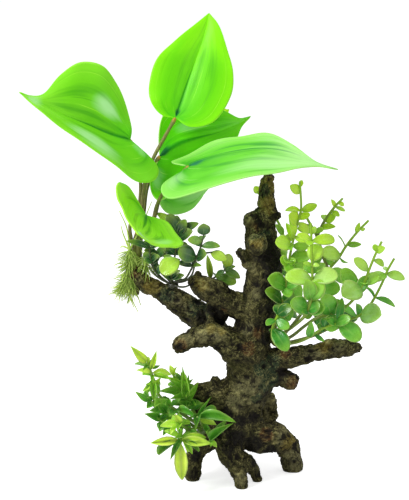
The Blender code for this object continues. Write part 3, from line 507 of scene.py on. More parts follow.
class Growth:
    """The geometry trees, each made when it is first needed."""

    @cached_property
    def bars(self) -> NodeTree:
        """Lays round bars along edges: limbs, stalks, stems and fibres."""
        tree = GrowthTree("round_bars", Sides=12)
        return tree.finished(tree.round_bars())

    @cached_property
    def sprig(self) -> NodeTree:
        """Lays stems along edges and sets a leaf on each loose point, by its turn, size, kind and tint.

        Returns:
            The tree.
        """
        tree = GrowthTree("leafy_sprig", Leaves="collection", Sides=8)
        bars = tree.round_bars()
        seats = tree.add("GeometryNodeSeparateGeometry", {"domain": "POINT"},
                         Geometry=tree.given("Geometry"), Selection=tree.read("leaf", "BOOLEAN"))
        forms = tree.add("GeometryNodeCollectionInfo", Collection=tree.given("Leaves"),
                         Separate_Children=True, Reset_Children=True)
        turn = tree.add("FunctionNodeEulerToRotation", Euler=tree.read("turn", "FLOAT_VECTOR"))
        blades = tree.add("GeometryNodeInstanceOnPoints", Points=seats.outputs[0],
                          Instance=forms.outputs[0], Pick_Instance=True,
                          Instance_Index=tree.read("kind", "INT"), Rotation=turn.outputs[0],
                          Scale=tree.read("size", "FLOAT_VECTOR"))
        return tree.finished(bars, blades.outputs[0])

    @cached_property
    def needles(self) -> NodeTree:
        """Covers a body with fine drooping needles where its tint is below Bushy, and keeps the body.

        Returns:
            The tree.
        """
        tree = GrowthTree("moss_needles", Needle="collection", Density=400000.0, Droop=0.6, Shortest=0.004,
                          Longest=0.009, Bushy=0.35, Seed=3)
        bushy = tree.math("LESS_THAN", tree.read("tint"), tree.given("Bushy"))
        seats = tree.add("GeometryNodeDistributePointsOnFaces", Mesh=tree.given("Geometry"),
                         Density=tree.times(tree.given("Density"), bushy), Seed=tree.given("Seed"))
        stray = tree.add("FunctionNodeRandomValue", {"data_type": "FLOAT_VECTOR"}, Min=(-0.7, -0.7, -0.5),
                         Max=(0.7, 0.7, 0.6), Seed=tree.given("Seed"))
        down = tree.add("ShaderNodeCombineXYZ", Z=tree.times(tree.given("Droop"), -1.0))
        way = tree.vector("ADD", tree.vector("ADD", seats.outputs[1], stray.outputs[0]), down.outputs[0])
        turn = tree.add("FunctionNodeAlignRotationToVector", {"axis": "X"}, Vector=way)
        length = tree.pick(tree.given("Shortest"), tree.given("Longest"), 11)
        forms = tree.add("GeometryNodeCollectionInfo", Collection=tree.given("Needle"),
                         Separate_Children=True, Reset_Children=True)
        tinted = tree.keep(seats.outputs[0], "tint", tree.pick(0.0, 1.0, 5))
        blades = tree.add("GeometryNodeInstanceOnPoints", Points=tinted, Instance=forms.outputs[0],
                          Pick_Instance=True, Rotation=turn.outputs[0], Scale=length)
        return tree.finished(tree.given("Geometry"), blades.outputs[0])

    @cached_property
    def bark_height(self) -> NodeTree:
        """Gives the bark's Height, about -1 to 1, at a Lay in millimetres around and along a limb.

        Returns:
            The group.
        """
        group = Group("bark_height", "GeometryNodeTree", {"Lay": "vector"}, {"Height": "value"})
        lay = group.given("Lay")
        lumps = group.grain(group.scaled(lay, (0.1, 0.1, 0.13)), 1.0, 2.0)
        rough = group.grain(group.scaled(lay, (0.42, 0.42, 0.34)), 1.0, 3.0, 0.55)
        cells = group.add("ShaderNodeTexVoronoi", {"feature": "F1"}, Scale=1.0,
                          Vector=group.scaled(lay, (0.13, 0.13, 0.14))).outputs
        pitted = group.math("GREATER_THAN", cells[1], 0.62)
        knobby = group.math("LESS_THAN", cells[1], 0.4)
        pit = group.times(group.remap(cells[0], 0.1, 0.4, 1.0, 0.0), pitted)
        knob = group.times(group.remap(cells[0], 0.05, 0.48, 1.0, 0.0), knobby)
        height = group.swing(lumps, 1.5, group.swing(rough, 0.28))
        for scale, width, share in ((0.19, 0.10, 0.38), (0.13, 0.05, -0.55)):
            veins = group.grain(group.scaled(lay, (scale, scale, scale * 0.7)), 1.0, 3.0, 0.6, 0.8)
            vein = group.remap(group.math("ABSOLUTE", group.swing(veins, 1.0)), 0.0, width, 1.0, 0.0)
            height = group.math("MULTIPLY_ADD", vein, share, height)
        for layer, share in ((pit, -0.75), (knob, 0.55)):
            height = group.math("MULTIPLY_ADD", layer, share, height)
        group.give("Height", height)
        return group.tree

    @cached_property
    def bark(self) -> NodeTree:
        """Raises bark by Depth on a smooth body, and keeps how high each point stands as crest.

        Each point has its lay on its own limb and on the next, the share of the next, and how calm it is.

        Returns:
            The tree.
        """
        tree = GrowthTree("raised_bark", Depth=0.0008)
        own, following = (tree.add("GeometryNodeGroup", {"node_tree": self.bark_height},
                                   Lay=tree.read(name, "FLOAT_VECTOR")).outputs["Height"]
                          for name in ("lay_own", "lay_next"))
        height = tree.math("MULTIPLY_ADD", tree.math("SUBTRACT", following, own), tree.read("share"), own)
        kept = tree.keep(tree.given("Geometry"), "crest", height)
        calm = tree.math("SUBTRACT", 1.0, tree.read("calm"))
        lift = tree.times(tree.times(height, calm), tree.given("Depth"))
        offset = tree.dimmed(tree.add("GeometryNodeInputNormal").outputs[0], lift)
        raised = tree.add("GeometryNodeSetPosition", Geometry=kept, Offset=offset)
        return tree.finished(raised.outputs[0])


GROWTH = Growth()


def grow(piece: Object, tree: NodeTree, inputs: dict[str, object]) -> None:
    """Run a geometry tree on a piece and keep the result as its plain mesh.

    Args:
        piece: the piece whose mesh the tree starts from.
        tree: the tree.
        inputs: the tree's values, by the inputs' names.
    """
    modifier = piece.modifiers.new(tree.name, "NODES")
    modifier.node_group = tree
    for entry in tree.interface.items_tree:
        if entry.item_type == "SOCKET" and entry.in_out == "INPUT" and entry.name in inputs:
            modifier[entry.identifier] = inputs[entry.name]
    plain_mesh(piece)


class Plan:
    """The points that a geometry tree starts from: runs of edges, and loose points that seat a leaf each.

    A point has a bar's radius as its girth, its tint on its finish's range of colours, and how far along its
    run it lies. One that seats a leaf has the kind of its form, its turn as XYZ angles and its size.
    """

    USUAL = {"girth": 0.0, "tint": 0.0, "along": 0.0, "leaf": False, "kind": 0, "turn": (0.0, 0.0, 0.0),
             "size": (1.0, 1.0, 1.0)}

    def __init__(self) -> None:
        """Start with nothing."""
        self.places: list[Place] = []
        self.edges: list[tuple[int, int]] = []
        self.rows: dict[str, list] = {name: [] for name in self.USUAL}

    def point(self, place: Vector, **values: object) -> None:
        """Add one point, with the attributes that differ from the usual ones.

        Args:
            place: where it is.
            **values: the attributes.
        """
        self.places.append(tuple(place))
        for name, row in self.rows.items():
            row.append(values.get(name, self.USUAL[name]))

    def run(self, route: list[Vector], tint: float = 0.0, tint_end: float | None = None) -> None:
        """Add a run of edges along a route of 4D points, whose fourth number is the radius.

        Args:
            route: the points.
            tint: the tint where it starts.
            tint_end: the tint where it ends, or None where it stays the same.
        """
        goal = tint if tint_end is None else tint_end
        for number, station in enumerate(route):
            share = number / (len(route) - 1)
            if number:
                self.edges.append((len(self.places) - 1, len(self.places)))
            self.point(station.xyz, girth=station.w, tint=tint + (goal - tint) * share, along=share)

    def mesh(self, name: str) -> Mesh:
        """Turn the plan into a mesh with its attributes.

        Args:
            name: the mesh's name.

        Returns:
            The mesh.
        """
        mesh = bpy.data.meshes.new(name)
        mesh.from_pydata(self.places, self.edges, [])
        for label, values in self.rows.items():
            write_row(mesh, label, np.array(values))
        return mesh

    def piece(self, name: str, sides: int, material: Material | None = None) -> Object:
        """Show the plan's runs as round bars.

        Args:
            name: the piece's name.
            sides: how many sides a bar has.
            material: the bars' material, if any.

        Returns:
            The piece.
        """
        piece = show(name, self.mesh(name))
        grow(piece, GROWTH.bars, {"Sides": sides, **({"Material": material} if material else {})})
        face_outwards(piece.data)
        return piece


@contextmanager
def spare_forms(meshes: dict[str, Mesh]) -> Iterator[Collection]:
    """Lend a collection of small forms, which a tree picks in the order of their names.

    Args:
        meshes: the forms' meshes, by name.

    Yields:
        The collection, which is removed afterwards.
    """
    forms = bpy.data.collections.new("forms")
    for name, mesh in meshes.items():
        forms.objects.link(bpy.data.objects.new(name, mesh))
    yield forms
    for form in list(forms.objects):
        bpy.data.objects.remove(form)
    bpy.data.collections.remove(forms)


@dataclass(frozen=True)
class BarkFinish:
    """Old wood: dark brown with pale ochre crests, from wear and from a painted highlight that is strongest
    on faces turned up, near black painted shade in the creases and on the shaded sides, and stained patches.

    The sizes of its patches and speckles, and of its blots and dots, are in metres.
    """

    brown: Colour = paint("231f0e")
    olive: Colour = paint("484621")
    crest: Colour = paint("d6cc84")
    crease_shade: Colour = paint("140e08")
    patches: tuple[float, float] = (0.014, 0.0009)
    blots: tuple[float, float] = (0.0045, 0.0022)
    # The marks' names, colours and strengths: grey wear, yellow moss, rust and algae stains, and painted
    # shade on the shaded sides.
    stains_and_shade: tuple[tuple[str, Colour, float], ...] = (
        ("pale", paint("7a7650"), 0.62), ("ochre", paint("867428"), 0.6),
        ("rust", paint("603e1c"), 0.65), ("algae", paint("223824"), 0.8),
        ("soot", paint("120e09"), 0.94),
    )

    @property
    def material(self) -> Material:
        """The wood's material, which reads the marks, the crest and the lay of the wood.

        Returns:
            The material.
        """
        wires = Finish("bark")
        patch, speckle = wires.uneven(*self.patches)
        blot, dots = wires.uneven(*self.blots)
        crest = wires.read("crest")
        lays = (wires.scaled(wires.read(lay, "Vector"), (0.6, 0.6, 0.3)) for lay in ("lay_own", "lay_next"))
        own, following = (wires.grain(lay, 1.0, 4.0, 0.6, 0.6) for lay in lays)
        streak = wires.math("MULTIPLY_ADD", wires.math("SUBTRACT", following, own), wires.read("share"), own)
        tone = wires.math("MULTIPLY_ADD", blot, 0.5, wires.times(patch, 0.5))
        colour = wires.mix(tone, self.brown, self.olive)
        broken = wires.math("SUBTRACT", wires.math("ADD", blot, dots), 1.0)
        for name, stain_and_shade, strength in self.stains_and_shade:
            mark = wires.math("MULTIPLY_ADD", broken, 0.3, wires.read(name))
            colour = wires.mix(wires.times(wires.remap(mark, 0.2, 0.75), strength), colour, stain_and_shade)
        # Faces turned up take more of the pale crest colour: a painted highlight where the light falls from
        # above.
        facing = wires.parts(wires.add("ShaderNodeTexCoord").outputs["Normal"])
        top_light = wires.remap(facing[2], -0.4, 0.8, 0.35, 1.0)
        net = wires.math("SUBTRACT", wires.grain(wires.place(), 330.0, 3.0, 0.62, 1.0), 0.5)
        line = wires.remap(wires.math("ABSOLUTE", net), 0.0, 0.045, 1.0, 0.0)
        wear_and_top_light = wires.math("MAXIMUM", wires.remap(crest, 0.2, 1.0), wires.times(line, 0.75))
        wear_and_top_light = wires.times(wear_and_top_light, wires.times(top_light, wires.remap(crest, -0.5, 0.4, 0.2, 1.0)))
        # The pale crests and lines fade where the painted shade lies.
        outside_shade = wires.remap(wires.read("soot"), 0.2, 0.8, 0.72, 0.12)
        colour = wires.mix(wires.times(wear_and_top_light, outside_shade), colour, self.crest)
        # Painted shade: the low valleys of the bark's relief turn near black.
        colour = wires.mix(wires.times(wires.remap(crest, 0.08, -0.5), 0.92), colour, self.crease_shade)
        fleck = wires.remap(speckle, 0.0, 1.0, 0.82, 1.14)
        level = wires.times(wires.remap(streak, 0.3, 0.7, 0.55, 1.25), fleck)
        height = wires.math("MULTIPLY_ADD", speckle, 0.35, wires.math("MULTIPLY_ADD", line, 0.5, streak))
        return wires.shader(
            Base_Color=wires.dimmed(colour, level), Roughness=wires.remap(streak, 0.3, 0.7, 0.8, 0.55),
            Specular_IOR_Level=0.22, Normal=wires.bump(0.6, 0.0006, height))


@dataclass(frozen=True)
class Limb:
    """One limb of the driftwood: the solid it stands for, its rings, and the knobs and snags on it."""

    node: str
    stations: list[Station]
    knobs: tuple[list[Station], ...] = ()


LIMBS = (
    Limb("wood_trunk", [
        (-4, 17, -3, 7), (-3, 22, -2, 11.4), (-3.5, 28, -1, 13.4), (-4.5, 35, 0, 12.8), (-5, 42, 1, 12.2),
        (-3.2, 50, 1, 12.8), (0.6, 58, 1, 13.9), (0.9, 66, 0, 13.8), (-0.5, 74, 0, 14.6), (0, 82, 0, 13),
        (2.8, 91, 0, 11.2), (4, 100, 1, 10.8), (5, 108, 1, 11),
    ], (
        [(3, 73, 8, 6), (5, 75, 15, 5), (6, 76, 19, 2.4)],
        [(-8, 56, 8, 6.4), (-12, 58, 14, 4.6), (-13.4, 59, 17, 2.2)],
    )),
    Limb("wood_spire", [
        (4.5, 105, 1, 10.6), (6.6, 114, 2, 10.4), (8.1, 122, 2, 10), (9.4, 130, 2, 10.8), (8, 137, 2, 10.6),
        (6.9, 145, 1, 9.3), (6.8, 153, 1, 9), (8.8, 159, 1, 7.3), (11.1, 164.6, 2, 5.5), (10.6, 171, 2, 4.5),
        (10.4, 178, 3, 4.3), (11.4, 183.5, 3.5, 3.6), (13.4, 187, 4, 2),
    ], (
        [(3.2, 158.6, -1, 4.2), (-0.8, 158.4, -3, 3.9), (-3.4, 158, -4, 2.4)],
        [(12, 161, -1, 3.6), (16.4, 161.6, -2, 3.1), (19, 161.8, -3, 1.7)],
        [(4, 144.6, -3, 6), (4.2, 144.2, -11, 5.7), (4.2, 142.4, -16, 5.5), (4.3, 141.4, -20, 3.4)],
        [(0, 130.4, -3, 3.2), (-3, 134.4, -5, 2.9), (-6, 138, -7, 2.6), (-7.6, 139.8, -8, 1.3)],
        [(10, 136, 8, 4.6), (11, 137, 14, 3.8), (11, 137.4, 16.5, 1.8)],
    )),
    Limb("wood_long_arm", [
        (-11, 80.4, 4, 7.4), (-18.8, 87.2, 7, 8.2), (-26.8, 93.8, 8, 8.5), (-35, 100.4, 7, 8.2),
        (-42.4, 106, 6, 7.3), (-50, 110.6, 5, 6.3), (-57, 114.8, 4, 5.2), (-65, 118.9, 2, 5),
        (-71, 124.2, 0, 4), (-73.6, 127.4, -1, 2.8),
    ], (
        [(-23, 95, 5, 5), (-19, 98.6, 3, 5), (-16.6, 104, 1, 4)],
        [(-26, 96, 6, 5), (-25, 101, 4, 4), (-23.6, 106, 1, 3)],
    )),
    Limb("wood_short_upper_branch", [
        (4, 102, 0, 8.5), (-5, 104.4, -1, 8), (-14, 108, -2, 7.3), (-22, 113, -3, 7.2),
        (-29, 116.6, -4, 6.4), (-34.6, 119.4, -5, 4.4), (-37.4, 120.4, -6, 2.6),
    ], (
        [(-31, 119, -4, 3.2), (-32.6, 123.6, -4, 2.3), (-33.2, 126, -4, 1.3)],
    )),
    Limb("wood_middle_left_branch", [
        (0, 73, -4, 11), (-9, 79.4, -6, 10.6), (-17, 84.2, -8, 8.4), (-24, 87, -9, 6.7), (-31, 86, -10, 5.8),
        (-38, 83.2, -12, 5.1), (-43.5, 80.4, -13, 4.7), (-47.8, 78, -14, 2.9),
    ], (
        [(-25, 90, -8, 2.6), (-24.8, 97, -4, 2.2), (-24.4, 101.4, -2, 2.4)],
    )),
    Limb("wood_right_branch", [
        (6, 69, -2, 8.5), (16, 71, -3, 7.8), (25, 72.5, -4, 6.4), (34, 74.5, -5, 5.6), (42, 75.8, -6, 5.2),
        (50, 77.3, -7, 5.3), (57, 78.3, -8, 5.3), (64, 78.4, -9, 4.2), (69.3, 78.2, -10, 2.1),
    ], (
        [(53, 77, -7, 2.4), (53.6, 73.4, -7, 1.9), (53.8, 72.4, -7, 1)],
    )),
    Limb("wood_right_stub", [
        (8, 60, -3, 8), (15, 60.5, -4, 6.2), (20.5, 60, -5, 5.5), (25.6, 58.4, -6, 5.3),
        (29.4, 56.4, -7, 3.7),
    ]),
    Limb("wood_lower_left_limb", [
        (-6, 46, 1, 10.5), (-14, 47.5, 1, 11), (-21, 48.4, 0, 9.4), (-28, 48.5, -1, 7.8), (-34, 49.4, -2, 6),
        (-39, 49.4, -3, 3.2),
    ], (
        [(-21, 54, -1, 3.2), (-21.8, 58.6, -1, 2.6), (-22, 60.4, -1, 1.3)],
        [(-28, 44, -3, 5), (-32, 40.4, -4, 4), (-33.4, 38.2, -4, 2)],
    )),
    Limb("wood_front_root", [
        (-6, 29, -6, 9.5), (-11.6, 26, -8, 9.4), (-12.8, 18, -12.5, 8.4), (-11, 10, -17, 6.9),
        (-7.5, 3, -18.6, 4.9), (-5.8, -3, -20.4, 3.9), (-5.2, -9, -21.2, 3.5), (-5.2, -14, -21.2, 3.5),
    ], (
        [
            (-9, 11, -16, 5), (-3.6, 8.2, -15, 4.9), (0.2, 4.4, -13.5, 4.2), (3, 0.4, -12, 3.6),
            (4.2, -2.4, -11, 3), (4.6, -7, -11, 3),
        ],
    )),
    Limb("wood_left_root", [
        (-6, 33, -3, 9), (-14, 30, -4.5, 9.4), (-22, 25.4, -6, 8.2), (-29, 19, -8, 6.8),
        (-33.8, 12, -8.5, 5.1), (-35.4, 5.5, -8.8, 4.5), (-35.9, -1, -9, 4.2), (-35.9, -7, -9, 4.2),
    ]),
    Limb("wood_right_root", [
        (-4, 26, -2, 9.5), (4, 24.2, -4, 9.8), (12, 23, -3, 9), (19, 22.2, 0, 8.2), (23.4, 17, 2, 7.3),
        (25, 10.8, 4.6, 6.7), (26.8, 5.8, 6.2, 6.1), (27.2, -3, 7, 5.5),
    ]),
    Limb("wood_back_root", [
        (-6, 32, 5, 8.5), (-10, 29, 13, 8.2), (-13, 24.6, 21, 7), (-14, 18.4, 28, 5.9), (-14, 12.4, 32, 5.2),
        (-14, 7, 34, 5.2), (-14, 2, 35, 5.2),
    ]),
    Limb("wood_loop_root", [
        (3, 47, 6, 3.8), (8, 48.4, 9, 3.8), (12, 46.4, 11, 3.6), (13.9, 41, 12, 3.4), (13.7, 36, 12, 3.5),
        (11.2, 32.4, 10, 3.8), (7, 29, 7, 3.8),
    ], (
        [(8.6, 47, 10, 2.6), (9.2, 40, 10.6, 2.6), (8.4, 33.4, 10, 2.6)],
    )),
)

# Marks on the wood, stained patches and painted shade: each mark's places in the front view, with a depth
# and how far it spreads.
MARKS: dict[str, list[Station]] = {
    "algae": [
        (-31, 104, -1, 9), (9, 65, -14, 7), (12, 60, -10, 7), (9, 56, -10, 6), (14, 70, -10, 6),
        (10, 148, -9, 5), (-20, 96, 4, 8), (-52, 112, 0, 6), (4, 80, 14, 9), (5, 46, -13, 5),
        (3, 149, -16, 5), (8.5, 177, -3, 5), (-6, 22, 20, 8), (14, 92, 12, 7),
    ],
    "rust": [
        (27, 57, -10, 5), (22, 76, -10, 5), (-73.5, 128, -3, 6), (-44, 80, -18, 5), (6, 88, -12, 5),
        (-1, 78, -15, 5), (-16, 50, 12, 6), (14, 26, 6, 6), (3, 154, -9, 4), (-17, 100, -11, 4),
        (10, 24, -12, 5),
    ],
    "pale": [
        (-6, 52, -14, 9), (2, 48, -14, 8), (-9, 44, -12, 7), (-30, 86, -16, 5), (40, 76, -12, 7),
        (29, 9, -3, 5), (9.4, 42, 7, 7), (9, 36, 7, 6), (0, 128, -9, 5), (4, 112, -10, 5),
        (3, 56, -14, 6), (6, 41, -12, 6), (-40, 84, -17, 5), (-20, 88, -15, 6), (-32, 92, -14, 4),
        (22, 24, -8, 6), (26, 14, -3, 6), (-6, -4, -26, 5), (10, 46, 2, 4), (-46, 110, -3, 7),
        (-57, 116, -3, 6), (55, 81, -12, 6), (30, 4, 0, 7), (20, 22, -8, 6), (-38, 104, 0, 5),
        (-28, 119, -10, 5), (-2, 90, -12, 5),
    ],
    "ochre": [
        (11, 180, 0, 7), (11, 168, -4, 7), (4, 147, -18, 6), (-30, 119, -11, 6), (-24, 92, -15, 5),
        (-60, 119, 0, 8), (46, 82, -8, 7), (8, 176, 8, 8), (-17, 90, -14, 4), (24, 19, -6, 6),
    ],
    # Painted shade: near black marks where the wood lies in shade, on the spire's right side, under the arms
    # and low on the roots.
    "soot": [
        (14, 141, -8, 7), (12, 131, -10, 6), (14, 124, -6, 7), (11, 114, -7, 6), (7, 134, -10, 4),
        (2, 134, -10, 4), (9, 137, -8, 4), (-16, 96, -3, 6), (10, 84, -10, 5), (-9, 96, -4, 5),
        (-8, 22, -16, 7), (2, 19, -12, 7), (12, 16, -8, 6), (-14, 16, -21, 5), (-34, 10, -15, 5),
        (-20, 34, -10, 6), (-27, 40, -8, 5), (20, 64, -9, 4), (13, 94, -9, 6), (14, 104, -8, 5),
        (-20, 100, -3, 6), (-25, 103, -3, 4), (-30, 98, 0, 5), (-14, 96, 0, 6), (2, 8, -16, 4),
        (-28, 86, 2, 5), (16, 134, -6, 7), (-14, 38, -9, 5), (15, 54, -4, 4), (-6, 33, -12, 5),
        (3, 35, -12, 5), (-45, 79, -19, 4), (-20, 14, -6, 7),
    ],
}


@dataclass
class Driftwood:
    """The stump with its branches and roots: one cast body with raised bark.

    The ring_step, lump_size and limb_shift are in millimetres, and mesh_size, bark_depth, seam, foot_calm
    and floor_cut in metres. Each limb's length counts from limb_shift times its number, so that no two have
    the same bark. Each mark, both the stained patches and the painted shade, is full as far as
    (stain_and_shade_full - 1) / stain_and_shade_fade of its spread, and then fades.
    """

    limbs: tuple[Limb, ...] = LIMBS
    ring_step: float = 1.5
    sides: int = 20
    fullness: float = 1.03
    lump_share: float = 0.10
    knob_lumps: float = 0.6
    lump_size: float = 11.0
    mesh_size: float = 0.00072
    smoothing: float = 0.5
    smoothing_rounds: int = 4
    bark_depth: float = 0.0014
    seam: float = 0.004
    limb_shift: float = 97.0
    foot_calm: float = 0.0015
    floor_cut: float = 0.00005
    stain_and_shade_full: float = 1.6
    stain_and_shade_fade: float = 1.3

    def limbs_joined(self) -> Object:
        """Make the limbs as round bars with uneven skins, and join them into one smooth body.

        Returns:
            The body.
        """
        plan = Plan()
        for limb in self.limbs:
            for number, stations in enumerate((limb.stations, *limb.knobs)):
                route = smooth_route(stations, self.ring_step)
                for station in route:
                    station.w *= self.fullness
                plan.run(route, self.knob_lumps if number else 1.0)
        piece = plan.piece("driftwood", self.sides)
        girths, lumpy = (read_row(piece.data, name) for name in ("girth", "tint"))
        offsets = []
        for corner, reach in zip(piece.data.vertices, girths * lumpy * 2 * self.lump_share):
            place = corner.co / (self.lump_size * MM)
            lump = noise.noise(place) + 0.5 * noise.noise(place * 2.3)
            offsets.append(corner.normal * (lump * float(reach)))
        for corner, offset in zip(piece.data.vertices, offsets):
            corner.co += offset
        remesh = piece.modifiers.new("One body", "REMESH")
        remesh.mode = "VOXEL"
        remesh.voxel_size = self.mesh_size
        smooth = piece.modifiers.new("Soft joins", "SMOOTH")
        smooth.factor = self.smoothing
        smooth.iterations = self.smoothing_rounds
        plain_mesh(piece)
        return piece

    def lay_on(self, limb: Limb, start: float, corners: np.ndarray) -> tuple[np.ndarray, np.ndarray]:
        """Find how far each corner lies from one limb's skin, and its place on that limb.

        Args:
            limb: the limb.
            start: where the limb's own length starts to count, in millimetres.
            corners: the corners' places, in metres.

        Returns:
            The distances, in metres, and the places, in millimetres as two ways out from the limb's middle
            line and one along it.
        """
        route = smooth_route(limb.stations, self.ring_step)
        centres = np.array([station.xyz for station in route], np.float32)
        radii = np.array([station.w for station in route], np.float32)
        ways = np.gradient(centres, axis=0)
        ways /= np.linalg.norm(ways, axis=1)[:, None]
        sides = [np.cross(ways[0], (0.3, 0.9, 0.2))]
        for way in ways[1:]:
            sides.append(sides[-1] - way * sides[-1].dot(way))
        sides = np.array(sides)
        sides /= np.linalg.norm(sides, axis=1)[:, None]
        others = np.cross(ways, sides)
        runs = np.concatenate(([0.0], np.cumsum(np.linalg.norm(np.diff(centres, axis=0), axis=1))))
        reach = np.linalg.norm(corners[:, None, :] - centres[None], axis=2) - radii[None]
        nearest = reach.argmin(axis=1)
        off = corners - centres[nearest]
        along = runs[nearest] + (off * ways[nearest]).sum(axis=1)
        out = (off * sides[nearest]).sum(axis=1)
        over = (off * others[nearest]).sum(axis=1)
        place = np.stack((out / MM, over / MM, along / MM + start), axis=1)
        return reach[np.arange(len(corners)), nearest], place

    def lay_out(self, corners: np.ndarray) -> tuple[np.ndarray, np.ndarray, np.ndarray]:
        """Find each corner's place on its own limb and on the next nearest one.

        Args:
            corners: the corners' places, in metres.

        Returns:
            The places on the own and on the next limb, as lay_on gives them, and the next limb's share, from
            0 to 0.5.
        """
        lays = [self.lay_on(limb, self.limb_shift * number, corners)
                for number, limb in enumerate(self.limbs)]
        gaps, places = (np.array(column) for column in zip(*lays))
        order = np.argsort(gaps, axis=0)[:2]
        rows = np.arange(len(corners))
        apart = (gaps[order[1], rows] - gaps[order[0], rows]) / self.seam
        share = 0.5 * np.clip(1.0 - apart, 0.0, 1.0) ** 2
        return places[order[0], rows], places[order[1], rows], share

    def mark(self, piece: Object) -> None:
        """Write the lay of the wood, the stained patches and the painted shade on the body's points.

        Args:
            piece: the smooth body.
        """
        flat = np.zeros(len(piece.data.vertices) * 3, np.float32)
        piece.data.vertices.foreach_get("co", flat)
        corners = flat.reshape(-1, 3)
        own, following, share = self.lay_out(corners)
        rows = {"lay_own": own, "lay_next": following, "share": share,
                "calm": np.clip(1.0 - corners[:, 2] / self.foot_calm, 0.0, 1.0)}
        for name, marks in MARKS.items():
            rows[name] = np.zeros(len(corners))
            for across, up, behind, spread in marks:
                middle = np.array(VIEW.place(across, up, behind))
                away = np.linalg.norm(corners - middle, axis=1) / (spread * MM)
                stain_and_shade = np.clip(self.stain_and_shade_full - self.stain_and_shade_fade * away, 0.0, 1.0)
                rows[name] = np.maximum(rows[name], stain_and_shade)
        for name, values in rows.items():
            write_row(piece.data, name, values)

    def stand_level(self, piece: Object) -> None:
        """Cut the roots off level with the floor and close the cuts.

        Args:
            piece: the body.
        """
        shape = bmesh.new()
        shape.from_mesh(piece.data)
        whole = [*shape.verts, *shape.edges, *shape.faces]
        bmesh.ops.bisect_plane(shape, geom=whole, plane_co=(0.0, 0.0, self.floor_cut),
                               plane_no=(0.0, 0.0, 1.0), clear_inner=True)
        edges = [edge for edge in shape.edges if edge.is_boundary]
        bmesh.ops.holes_fill(shape, edges=edges, sides=0)
        solid(shape, piece.data)

    def build(self) -> list[Object]:
        """Make the driftwood and dress it.

        Returns:
            The piece.
        """
        piece = self.limbs_joined()
        self.mark(piece)
        grow(piece, GROWTH.bark, {"Depth": self.bark_depth, "Material": BarkFinish().material})
        self.stand_level(piece)
        return [settle(piece, "driftwood", *(limb.node for limb in self.limbs))]


class LeafLook(Enum):
    """The colourings of the big leaves."""

    LIME = "lime"
    GLOSSY = "glossy"
    MINT = "mint"
    DEEP = "deep"
    YELLOW = "yellow"
    FOLDED = "folded"


